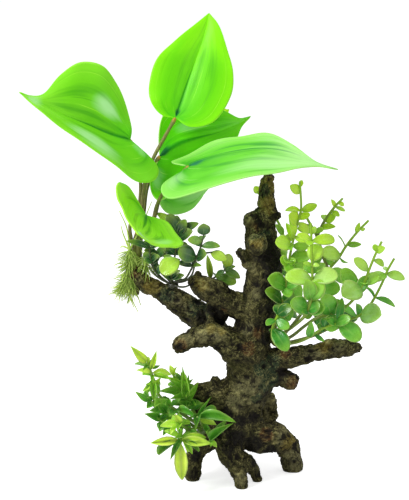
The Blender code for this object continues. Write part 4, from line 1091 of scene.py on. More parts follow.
@dataclass(frozen=True)
class BigLeafFinish:
    """Printed plastic: smooth lime green with thin veins that run from the stalk to the tip.

    A leaf's map gives a place as across, from edge to edge, and along, from the stalk, both from 0 to 1.
    The strip is a dark wedge along the midrib, and the patch lies where the stalk joins. Each soft pale
    spot of painted sheen, a painted reflection on the glossy plastic, has its place across and along, how
    far it spreads both ways, and its strength.
    """

    low: Colour = paint("4cc406")
    middle: Colour = paint("68d60a")
    tip: Colour = paint("88ee10")
    rim: Colour = paint("b2fa46")
    strip: Colour = paint("1e8e0a")
    patch: Colour = paint("04602a")
    painted_sheen: Colour = paint("bef6b0")
    painted_sheens: tuple[tuple[float, float, float, float, float], ...] = ()
    vein_share: float = 0.5
    strip_share: float = 0.9
    patch_share: float = 0.95
    streak_share: float = 0.35

    def material(self, name: str) -> Material:
        """Make the leaf's material, which reads the leaf's own map.

        Args:
            name: the material's name.

        Returns:
            The material.
        """
        wires = Finish(name)
        sheet = wires.add("ShaderNodeUVMap", {"uv_map": "Leaf"}).outputs[0]
        across, along = wires.parts(sheet)[:2]
        side = wires.math("ABSOLUTE", wires.math("MULTIPLY_ADD", across, 2.0, -1.0))
        cloud = wires.grain(wires.scaled(sheet, (4.0, 3.0, 1.0)), 1.0, 3.0, 0.5, 0.5)
        broad = wires.grain(wires.scaled(sheet, (9.0, 1.3, 1.0)), 1.0, 2.0, 0.5, 0.2)
        fine = wires.grain(wires.scaled(sheet, (52.0, 3.2, 1.0)), 1.0, 3.0, 0.6, 0.2)
        rise = wires.swing(cloud, 0.7, along)
        colour = wires.mix(wires.remap(rise, -0.05, 0.4), self.low, self.middle)
        light = wires.math("MAXIMUM", wires.remap(rise, 0.45, 0.95), wires.remap(side, 0.55, 1.0, 0.0, 0.8))
        colour = wires.mix(light, colour, self.tip)
        streak = wires.times(wires.remap(broad, 0.52, 0.66), wires.remap(side, 0.95, 0.5))
        scratch = wires.times(wires.remap(fine, 0.58, 0.72), wires.remap(side, 0.62, 0.3))
        for mark in (streak, scratch):
            colour = wires.mix(wires.times(mark, self.streak_share), colour, self.strip)
        # Soft pale spots of painted sheen: painted reflections on the glossy leaf.
        for patch_across, patch_along, spread_across, spread_along, strength in self.painted_sheens:
            away = wires.scaled(wires.vector("ADD", sheet, (-patch_across, -patch_along, 0.0)),
                                (1 / spread_across, 1 / spread_along, 0.0))
            spot = wires.add("ShaderNodeVectorMath", {"operation": "LENGTH"}, i0=away).outputs["Value"]
            ragged = wires.swing(broad, 1.2, spot)
            colour = wires.mix(wires.remap(ragged, 1.0, 0.15, 0.0, strength), colour, self.painted_sheen)
        rays = wires.math("PINGPONG", wires.math("MULTIPLY_ADD", cloud, 0.05, side), 0.14)
        ray = wires.times(wires.remap(rays, 0.009, 0.0), wires.remap(along, 0.85, 0.45))
        ray = wires.times(ray, wires.remap(cloud, 0.4, 0.6))
        rim = wires.math("MAXIMUM", wires.remap(side, 0.965, 0.995), ray)
        colour = wires.mix(wires.times(rim, self.vein_share), colour, self.rim)
        narrow = wires.math("MULTIPLY_ADD", wires.remap(along, 0.0, 0.75), -0.12, 0.15)
        edge = wires.math("DIVIDE", wires.math("MULTIPLY_ADD", fine, 0.05, side), narrow)
        strip = wires.times(wires.remap(edge, 1.0, 0.3), wires.remap(along, 0.85, 0.5))
        colour = wires.mix(wires.times(strip, self.strip_share), colour, self.strip)
        near = wires.times(wires.remap(side, 0.2, 0.1), wires.remap(along, 0.22, 0.13))
        colour = wires.mix(wires.times(near, self.patch_share), colour, self.patch)
        # The leaf glows faintly in its own colour: painted light for the light that shines through the thin
        # plastic.
        return wires.shader(
            Base_Color=colour, Emission_Color=colour, Emission_Strength=0.14, Specular_IOR_Level=0.16,
            Roughness=wires.remap(fine, 0.3, 0.7, 0.36, 0.5), Coat_Weight=0.03, Coat_Roughness=0.12,
            Normal=wires.bump(0.25, 0.0003, wires.math("MULTIPLY_ADD", ray, -0.6, fine)))


# The soft pale spots of the looks are painted reflections.
BIG_LEAF_FINISHES = {
    LeafLook.LIME: BigLeafFinish(),
    LeafLook.GLOSSY: BigLeafFinish(
        low=paint("54c40e"), middle=paint("6cd014"), tip=paint("84e228"), patch_share=0.3,
        streak_share=0.5,
        painted_sheens=((0.72, 0.36, 0.11, 0.13, 0.7), (0.2, 0.5, 0.2, 0.16, 0.6), (0.5, 0.86, 0.5, 0.1, 0.55),
                (0.28, 0.12, 0.16, 0.07, 0.3))),
    LeafLook.MINT: BigLeafFinish(
        low=paint("38a416"), middle=paint("6acc34"), tip=paint("96e260"),
        rim=paint("bef48c"), strip=paint("1e8038"), patch=paint("247850"), streak_share=0.8, strip_share=0.4,
        painted_sheen=paint("baeea0"),
        painted_sheens=((0.5, 0.8, 0.8, 0.36, 0.6), (0.3, 0.55, 0.2, 0.24, 0.4), (0.18, 0.14, 0.14, 0.1, 0.45))),
    LeafLook.DEEP: BigLeafFinish(
        low=paint("42ba08"), middle=paint("58ca08"), tip=paint("6cd80c"), rim=paint("bef86e"),
        vein_share=0.75, painted_sheens=((0.68, 0.42, 0.12, 0.14, 0.35), (0.16, 0.2, 0.12, 0.1, 0.4))),
    LeafLook.YELLOW: BigLeafFinish(
        low=paint("68cc0a"), middle=paint("86d80e"), tip=paint("a8e416"), strip_share=0.3,
        painted_sheens=((0.7, 0.4, 0.12, 0.2, 0.35),)),
    LeafLook.FOLDED: BigLeafFinish(
        low=paint("6cd616"), middle=paint("90ee1c"), tip=paint("a6f43a"), streak_share=0.6,
        patch_share=0.25,
        painted_sheens=((0.6, 0.9, 0.4, 0.12, 0.7), (0.82, 0.62, 0.12, 0.2, 0.35))),
}


@dataclass(frozen=True)
class StalkFinish:
    """Satin olive-brown plastic with streaks along it, orange where a leaf joins.

    The streaks have their number in a metre each way, and the patches and speckles their sizes in metres.
    """

    low: Colour = paint("605428")
    high: Colour = paint("788034")
    joint: Colour = paint("c49628")
    pale_streak: Colour = paint("96984c")
    dark_streak: Colour = paint("3a3218")
    streaks: Place = (1500.0, 1500.0, 150.0)
    patches: tuple[float, float] = (0.01, 0.0008)

    @property
    def material(self) -> Material:
        """The stalks' material, which reads how far along the stalk it is.

        Returns:
            The material.
        """
        wires = Finish("stalk")
        along = wires.read("along")
        streak = wires.grain(wires.scaled(wires.place(), self.streaks), 1.0, 3.0, 0.6)
        speckle = wires.uneven(*self.patches)[1]
        colour = wires.mix(along, self.low, self.high)
        colour = wires.mix(wires.remap(streak, 0.35, 0.7, 0.0, 0.7), colour, self.pale_streak)
        colour = wires.mix(wires.remap(streak, 0.5, 0.25, 0.0, 0.7), colour, self.dark_streak)
        colour = wires.mix(wires.remap(along, 0.955, 0.985, 0.0, 0.8), colour, self.joint)
        return wires.shader(Base_Color=colour, Roughness=wires.remap(speckle, 0.0, 1.0, 0.45, 0.6),
                            Normal=wires.bump(0.4, 0.0003, streak))


@dataclass(frozen=True)
class BigLeaf:
    """One big leaf with its stalk, which stand for a packed leaf and its stalk.

    Its stalk joins at base. Each rib gives a place of one edge, the midrib and the other edge, from the
    stalk to the tip. The stalk passes its places from the crown.
    """

    node: str
    look: LeafLook
    base: Place
    ribs: list[tuple[Place, Place, Place]]
    tip: Place
    stalk: list[Place]


BIG_LEAVES = (
    BigLeaf("big_leaf_top", LeafLook.LIME, (-46.5, 222.4, 3), [
        ((-55, 224, 4), (-45.2, 226.4, 5.5), (-37, 216.6, -1)),
        ((-61.8, 232, 5), (-43, 233, 8.5), (-22, 220.3, 0)),
        ((-63, 243, 9), (-39.5, 243.5, 13), (-12, 235.5, 6)),
        ((-58.6, 258.5, 14), (-35, 256, 18), (-10.4, 250, 12)),
        ((-47.5, 270, 20), (-30.8, 267, 22.5), (-14, 264.5, 18.5)),
        ((-35, 280.2, 26), (-27.4, 278, 27), (-19, 279.5, 25)),
    ], (-25.5, 287.8, 31), [
        (-68.6, 153, 4.4), (-67.4, 168, 1), (-65.4, 182, -1), (-60.4, 197, 0), (-54, 209, 2),
    ]),
    BigLeaf("big_leaf_left", LeafLook.GLOSSY, (-75, 208.6, -2), [
        ((-58.5, 193, -2), (-77.5, 209.6, -3), (-74.2, 216, 0)),
        ((-59.5, 183.5, -8), (-84, 211.2, -5), (-77, 228, 4)),
        ((-70, 182.3, -14), (-92, 214, -8), (-83.5, 243.5, 6)),
        ((-84, 192.5, -19), (-101, 217.8, -11), (-92.5, 255, 5)),
        ((-101, 204.3, -23), (-110, 221.5, -14), (-106, 257, 1)),
        ((-116.5, 215.2, -25), (-119.5, 225.6, -17), (-118.5, 249, -5)),
        ((-130, 225.6, -25), (-130, 230.5, -20), (-128.5, 237.6, -15)),
        ((-137.5, 232, -24), (-137.6, 234.2, -22), (-137, 236, -20)),
    ], (-144.2, 238.3, -23), [(-70.6, 153.4, 6.8), (-69, 168, 5), (-68.4, 182, 6), (-71, 197, 6)]),
    BigLeaf("big_leaf_right", LeafLook.MINT, (-38, 192, -8), [
        ((-55, 180, -14), (-32, 194.5, -10), (-49, 194.5, 2)),
        ((-50, 171.5, -24), (-22, 198, -14), (-38, 199.4, 2)),
        ((-30, 177, -34), (-8, 200.5, -19), (-24, 207, -2)),
        ((-8, 184, -40), (8, 202, -24), (-6, 211, -8)),
        ((12, 187, -42), (22, 200, -29), (12, 212.6, -15)),
        ((29, 190.8, -41), (35, 196, -33), (27, 205.5, -24)),
        ((42, 191.8, -38), (44.5, 193, -36), (41, 195.2, -33)),
    ], (55, 190, -38), [(-67.2, 150, 5), (-61.2, 157, 0), (-58, 168, -4), (-52.4, 178, -7), (-44, 186, -8)]),
    BigLeaf("big_leaf_middle", LeafLook.DEEP, (-56.5, 198.5, 8), [
        ((-62.5, 182, 4), (-52, 201.8, 9), (-56.8, 214, 15)),
        ((-57, 170.6, 0), (-44, 206.6, 12), (-53, 226, 21)),
        ((-40, 180, 3), (-32, 210, 15), (-42, 233, 26)),
        ((-22, 192, 9), (-20, 213, 19), (-28, 232, 29)),
        ((-9.5, 207.5, 18), (-9, 217.4, 24), (-16, 226.6, 30)),
        ((-5, 216.6, 26), (-4.6, 219.8, 28), (-7, 222.2, 31)),
    ], (0.5, 223.3, 33), [(-69, 153.4, 9), (-67.4, 168, 8), (-65.6, 182, 9)]),
    BigLeaf("big_leaf_back", LeafLook.YELLOW, (-52, 206, 26), [
        ((-46, 200, 24), (-47, 210, 33), (-56.4, 213, 30)),
        ((-36, 202, 36), (-40, 215, 44), (-50, 224, 44)),
        ((-24, 207, 50), (-30, 220, 57), (-38, 230, 58)),
        ((-16, 216, 62), (-21, 224.6, 66), (-25, 230, 68)),
    ], (-13, 227.4, 74), [(-67.4, 151, 10.6), (-66, 165, 12), (-63.2, 182, 16)]),
    BigLeaf("big_leaf_low", LeafLook.MINT, (-56.4, 177, 16), [
        ((-56, 167.8, 12), (-50, 179, 19), (-54, 186, 23)),
        ((-48.4, 161.8, 15), (-41, 181.6, 26), (-46, 194, 31)),
        ((-36, 165.2, 24), (-32, 183.6, 35), (-33, 194, 40)),
        ((-28, 175.4, 36), (-24.5, 184.5, 43), (-24, 190, 46)),
    ], (-18, 186, 52), [(-66, 149, 8.4), (-60.4, 158, 6), (-57.6, 168, 7)]),
    BigLeaf("big_leaf_folded", LeafLook.FOLDED, (-65, 161.4, -9), [
        ((-75.6, 178.7, -8), (-65.4, 158.5, -18), (-52, 157, -8)),
        ((-82.1, 181.8, -18), (-66, 156, -28), (-44.5, 148, -20)),
        ((-83.4, 176.5, -30), (-67, 153.6, -38), (-42, 143, -32)),
        ((-80.5, 166.5, -42), (-68, 151.6, -47), (-49, 141.4, -43)),
        ((-75, 156.5, -52), (-69, 150.4, -54), (-59, 142.4, -52)),
    ], (-70, 149.6, -60), [(-72.6, 141, 6), (-74.4, 148, 4), (-74.8, 155.6, -2), (-70.4, 160.6, -8)]),
)
CROWN = [
    (-71.8, 112, 6, 2.6), (-71.6, 122, 7, 3.3), (-71, 134, 7.4, 3.4), (-70, 146, 7, 3),
    (-69.4, 151, 7, 2.2),
]


@dataclass
class BigLeafPlant:
    """The big-leaf plant: its crown, its stalks and its seven heart-shaped leaves, in millimetres.

    Each half of a leaf swells by a share of its width, and its skin by quilt between its veins. Its edges
    wave in ripples of two lengths, and a groove lies along its midrib. A stalk thins to stalk_end of its
    radius, and the collar says how it thickens just before the leaf. A step is from ring to ring.
    """

    leaves: tuple[BigLeaf, ...] = BIG_LEAVES
    thickness: float = 0.8
    swell: float = 0.035
    ring_step: float = 1.6
    stalk_radius: float = 1.1
    stalk_end: float = 0.85
    stalk_sides: int = 12
    crown_step: float = 1.5
    crown_sides: int = 20
    rows_each: int = 8
    columns: int = 22
    quilt: float = 0.05
    veins: int = 4
    wave: float = 0.4
    ripples: tuple[float, float] = (21.0, 37.0)
    groove_depth: float = 0.5
    groove_width: float = 0.045
    collar: tuple[float, ...] = (1.12, 1.35, 1.3, 0.8)

    def relief(self, seed: int, share: float, along: float) -> float:
        """Give how far a leaf's skin stands up with its veins, its rippled edges and its groove.

        Args:
            seed: the leaf's own number, which sets where its ripples lie.
            share: the place across, from -1 at one edge to 1 at the other.
            along: the place along, from 0 to 1.

        Returns:
            The height, in millimetres.
        """
        long, short = self.ripples
        ridge = abs(math.sin(math.pi * self.veins * abs(share) ** 0.9)) ** 0.6 - 0.6
        fade = math.sin(math.pi * min(1.0, along * 1.15)) ** 0.5 if along < 0.87 else 0.25
        ripple = math.sin(along * long + seed + 2.4 * share)
        ripple += 0.6 * math.sin(along * short + 2 * seed)
        ripple *= abs(share) ** 3 * self.wave * math.sin(math.pi * along)
        groove = self.groove_depth * math.exp(-((share / self.groove_width) ** 2)) * (1.0 - along)
        return ridge * self.quilt * fade + ripple - groove

    def sheet(self, leaf: BigLeaf) -> Mesh:
        """Make a leaf's thin sheet with its map.

        Args:
            leaf: the leaf.

        Returns:
            The sheet's mesh.
        """
        base, tip = VIEW.place(*leaf.base), VIEW.place(*leaf.tip)
        lines = []
        for number in range(3):
            knots = [base, *(VIEW.place(*rib[number]) for rib in leaf.ribs), tip]
            lines.append(smooth_row(knots, self.rows_each))
        seed = sum(ord(letter) for letter in leaf.node)
        last = len(lines[0]) - 1
        shape = bmesh.new()
        sheet = shape.loops.layers.uv.new("Leaf")
        where: dict[bmesh.types.BMVert, tuple[float, float]] = {}
        rows = []
        for row, (edge, middle, far_edge) in enumerate(zip(*lines)):
            along = row / last
            across = far_edge - edge
            if row in (0, last):
                rows.append([shape.verts.new(middle)] * (2 * self.columns + 1))
                continue
            normal = across.cross(tip - base).normalized()
            line = []
            for column in range(-self.columns, self.columns + 1):
                share = column / self.columns
                side = edge if share < 0 else far_edge
                place = middle.lerp(side, abs(share))
                swell = math.sin(math.pi * abs(share)) * across.length * self.swell
                lift = swell + self.relief(seed, share, along) * MM
                corner = shape.verts.new(place + normal * lift)
                where[corner] = ((share + 1) / 2, along)
                line.append(corner)
            rows.append(line)
        for number, (low, high) in enumerate(zip(rows, rows[1:])):
            for column in range(2 * self.columns):
                corners = (low[column], low[column + 1], high[column + 1], high[column])
                face = shape.faces.new(tuple(dict.fromkeys(corners)))
                for loop in face.loops:
                    middle_of_face = (column + 0.5) / (2 * self.columns)
                    loop[sheet].uv = where.get(loop.vert, (middle_of_face, float(number > 0)))
        return solid(shape, bpy.data.meshes.new(leaf.node))

    def blade(self, leaf: BigLeaf, material: Material) -> Object:
        """Make one leaf.

        Args:
            leaf: the leaf.
            material: its material.

        Returns:
            The piece.
        """
        piece = show(leaf.node.replace("big_leaf", "heart_leaf"), self.sheet(leaf))
        piece.data.materials.append(material)
        thicken = piece.modifiers.new("Thickness", "SOLIDIFY")
        thicken.thickness = self.thickness * MM
        thicken.offset = 0.0
        plain_mesh(piece)
        face_outwards(piece.data)
        return settle(piece, "big_leaf", leaf.node)

    def stalk(self, leaf: BigLeaf, material: Material) -> Object:
        """Make one leaf's stalk, which thickens a little where the leaf joins.

        Args:
            leaf: the leaf.
            material: the stalk's material.

        Returns:
            The piece.
        """
        stations = [(*place, self.stalk_radius) for place in leaf.stalk]
        route = smooth_route([*stations, (*leaf.base, self.stalk_radius * self.stalk_end)], self.ring_step)
        for station, share in zip(route[-len(self.collar):], self.collar):
            station.w *= share
        plan = Plan()
        plan.run(route)
        piece = plan.piece(leaf.node.replace("big_leaf", "stalk"), self.stalk_sides, material)
        return settle(piece, "leaf_stalk", leaf.node.replace("big_leaf", "leaf_stalk"))

    def build(self) -> list[Object]:
        """Make the crown, the stalks and the leaves.

        Returns:
            The pieces.
        """
        stalk_material = StalkFinish().material
        materials = {look: finish.material(f"big_leaf_{look.value}") for look, finish in
                     BIG_LEAF_FINISHES.items()}
        plan = Plan()
        plan.run(smooth_route(CROWN, self.crown_step))
        crown = plan.piece("crown", self.crown_sides, stalk_material)
        pieces = [settle(crown, "leaf_stalk", "plant_crown")]
        for leaf in self.leaves:
            pieces += [self.stalk(leaf, stalk_material), self.blade(leaf, materials[leaf.look])]
        return pieces


@dataclass(frozen=True)
class SmallLeafFinish:
    """Soft plastic leaves and stems, each leaf with its own place on the plant's range of greens.

    The range runs from the darkest leaves to the palest. A leaf is darkest where it starts. Leaves turn to
    the young colour from young_from metres up, and the young_share of it shows young_rise above that. The
    sizes of patches and speckles are in metres.
    """

    name: str
    range: tuple[Colour, ...]
    rim: Colour
    rim_share: float
    tip: Colour
    tip_share: float
    stem_low: Colour
    stem_high: Colour
    roughness: float = 0.27
    base_share: float = 0.3
    glow: float = 0.08
    patches: tuple[float, float] = (0.006, 0.0007)
    young: Colour = paint("b2de1a")
    young_from: float = 0.1
    young_share: float = 0.0
    young_rise: float = 0.07

    @property
    def material(self) -> Material:
        """The material, which reads a leaf's tint, its rim, and how far along it is.

        Returns:
            The material.
        """
        wires = Finish(self.name)
        patch, speckle = wires.uneven(*self.patches)
        tint, along, rim = wires.read("tint"), wires.read("along"), wires.read("rim")
        leaf = wires.ramp(wires.swing(patch, 0.16, tint), self.range)
        height = wires.parts(wires.place())[2]
        young = wires.remap(height, self.young_from, self.young_from + self.young_rise, 0.0,
                            self.young_share)
        leaf = wires.mix(wires.times(young, wires.remap(tint, 0.2, 0.7, 0.4, 1.0)), leaf, self.young)
        leaf = wires.mix(wires.remap(along, 0.42, 0.0, 0.0, self.base_share), leaf, self.range[0])
        leaf = wires.mix(wires.remap(along, 0.45, 1.0, 0.0, self.tip_share), leaf, self.tip)
        vein = wires.times(wires.remap(rim, 0.16, 0.0), wires.remap(along, 0.9, 0.2))
        leaf = wires.mix(wires.times(vein, 0.35), leaf, wires.mix(0.6, leaf, self.rim))
        leaf = wires.mix(wires.remap(rim, 0.8, 1.0, 0.0, self.rim_share), leaf, self.rim)
        stem = wires.mix(along, self.stem_low, self.stem_high)
        stem = wires.mix(wires.remap(speckle, 0.5, 1.0, 0.0, 0.35), stem, self.stem_low)
        colour = wires.dimmed(wires.mix(wires.read("blade"), stem, leaf),
                              wires.remap(speckle, 0.0, 1.0, 0.95, 1.05))
        spread = wires.remap(patch, 0.0, 1.0, self.roughness - 0.06, self.roughness + 0.08)
        return wires.shader(
            Base_Color=colour, Emission_Color=colour, Emission_Strength=self.glow, Specular_IOR_Level=0.45,
            Roughness=spread, Normal=wires.bump(0.12, 0.0002, speckle))


LIGHT_FINISH = SmallLeafFinish(
    "light_shrub_plastic",
    (paint("185c1a"), paint("3a9030"), paint("6cbe40"), paint("9cd85a"), paint("b0e28e")),
    rim=paint("d8f488"), rim_share=0.6, tip=paint("acda3c"), tip_share=0.35,
    stem_low=paint("606438"), stem_high=paint("98c62c"), glow=0.1, young=paint("c8f022"),
    young_from=0.105, young_share=0.9, base_share=0.42,
)
DARK_FINISH = SmallLeafFinish(
    "dark_shrub_plastic",
    (paint("1e4428"), paint("487440"), paint("7aa842"), paint("a6cc3e"), paint("bce452")),
    rim=paint("c0d890"), rim_share=0.6, tip=paint("accc42"), tip_share=0.5,
    stem_low=paint("343626"), stem_high=paint("506034"), roughness=0.22, glow=0.03,
)
NARROW_FINISH = SmallLeafFinish(
    "narrow_plant_plastic",
    (paint("387c28"), paint("5ca634"), paint("90ce40"), paint("c2ec4c"), paint("e2f868")),
    rim=paint("bce46e"), rim_share=0.4, tip=paint("b8e054"), tip_share=0.45,
    stem_low=paint("546832"), stem_high=paint("8cb440"), glow=0.1, young=paint("bee23c"),
    young_from=0.045, young_share=0.5,
)


@dataclass(frozen=True)
class LeafForm:
    """One form of small leaf, one unit long and one unit to each side.

    The outline gives its half width at places along it, apart from its two points. The cup is how far its
    edges stand up, the arch how far its middle does, and the curl how far its tip turns up or down.
    """

    name: str
    outline: tuple[tuple[float, float], ...]
    cup: float
    arch: float
    curl: float
    thickness: float = 0.045

    def mesh(self) -> Mesh:
        """Make the leaf's closed thin body, with its rim and its length as attributes.

        Returns:
            The mesh.
        """
        columns = (-1.0, -0.6, 0.0, 0.6, 1.0)
        shape = bmesh.new()
        places: list[tuple[float, float]] = []

        def corner(along: float, side: float, half: float, face: float) -> bmesh.types.BMVert:
            """Add one corner, on the upper (1), the lower (-1) or no (0) face."""
            lift = self.arch * math.sin(math.pi * along) + self.curl * along**3 + self.cup * side**2 * half
            lift += face * self.thickness / 2 * (1.0 - 0.5 * abs(side)) - 0.2 * self.cup * (side == 0.0)
            places.append((abs(side), along))
            return shape.verts.new((along, side * half, lift))

        start, end = corner(0.0, 0.0, 0.0, 0.0), corner(1.0, 0.0, 0.0, 0.0)
        upper, lower = [[start] * 5], [[start] * 5]
        for along, half in self.outline:
            left, right = corner(along, -1.0, half, 0.0), corner(along, 1.0, half, 0.0)
            for rows, face in ((upper, 1.0), (lower, -1.0)):
                rows.append([left, *(corner(along, side, half, face) for side in columns[1:-1]), right])
        upper.append([end] * 5)
        lower.append([end] * 5)
        for rows in (upper, lower):
            for low, high in zip(rows, rows[1:]):
                for column in range(4):
                    corners = (low[column], low[column + 1], high[column + 1], high[column])
                    shape.faces.new(tuple(dict.fromkeys(corners)))
        mesh = solid(shape, bpy.data.meshes.new(self.name))
        for name, values in zip(("rim", "along", "blade"), (*zip(*places), [1.0] * len(places))):
            write_row(mesh, name, np.array(values))
        return mesh


ROUND_OUTLINE = (
    (0.03, 0.16), (0.12, 0.42), (0.25, 0.74), (0.41, 0.95), (0.59, 1), (0.76, 0.89), (0.9, 0.63),
    (0.975, 0.33),
)
OVAL_OUTLINE = (
    (0.03, 0.18), (0.12, 0.46), (0.25, 0.78), (0.41, 0.97), (0.59, 0.98), (0.76, 0.8), (0.9, 0.5),
    (0.975, 0.23),
)
NARROW_OUTLINE = (
    (0.05, 0.16), (0.14, 0.5), (0.28, 0.86), (0.45, 1), (0.63, 0.88), (0.8, 0.56), (0.93, 0.22),
)
SHRUB_FORMS = (
    LeafForm("leaf_a_round_flat", ROUND_OUTLINE, 0.05, 0.05, 0.0),
    LeafForm("leaf_b_round_cupped", ROUND_OUTLINE, 0.13, 0.07, 0.03),
    LeafForm("leaf_c_round_curled", ROUND_OUTLINE, 0.08, 0.08, -0.08),
    LeafForm("leaf_d_oval_flat", OVAL_OUTLINE, 0.06, 0.05, 0.0),
    LeafForm("leaf_e_oval_cupped", OVAL_OUTLINE, 0.15, 0.07, 0.04),
    LeafForm("leaf_f_oval_curled", OVAL_OUTLINE, 0.08, 0.08, -0.08),
)
NARROW_FORMS = (
    LeafForm("leaf_a_narrow_flat", NARROW_OUTLINE, 0.22, 0.05, 0.0, 0.03),
    LeafForm("leaf_b_narrow_folded", NARROW_OUTLINE, 0.4, 0.07, 0.03, 0.03),
    LeafForm("leaf_c_narrow_curled", NARROW_OUTLINE, 0.25, 0.09, -0.08, 0.03),
)


@dataclass(frozen=True)
class Sprig:
    """One sprig: its name within its plant, the places that its stems pass, and its leaves.

    A leaf is its base across and up, its tip across, up and behind, its width, its place on the plant's
    range of greens in hundredths, and, where it is turned about its length, by how many degrees.
    """

    name: str
    stems: tuple[list[Place], ...]
    leaves: tuple[tuple[float, ...], ...]


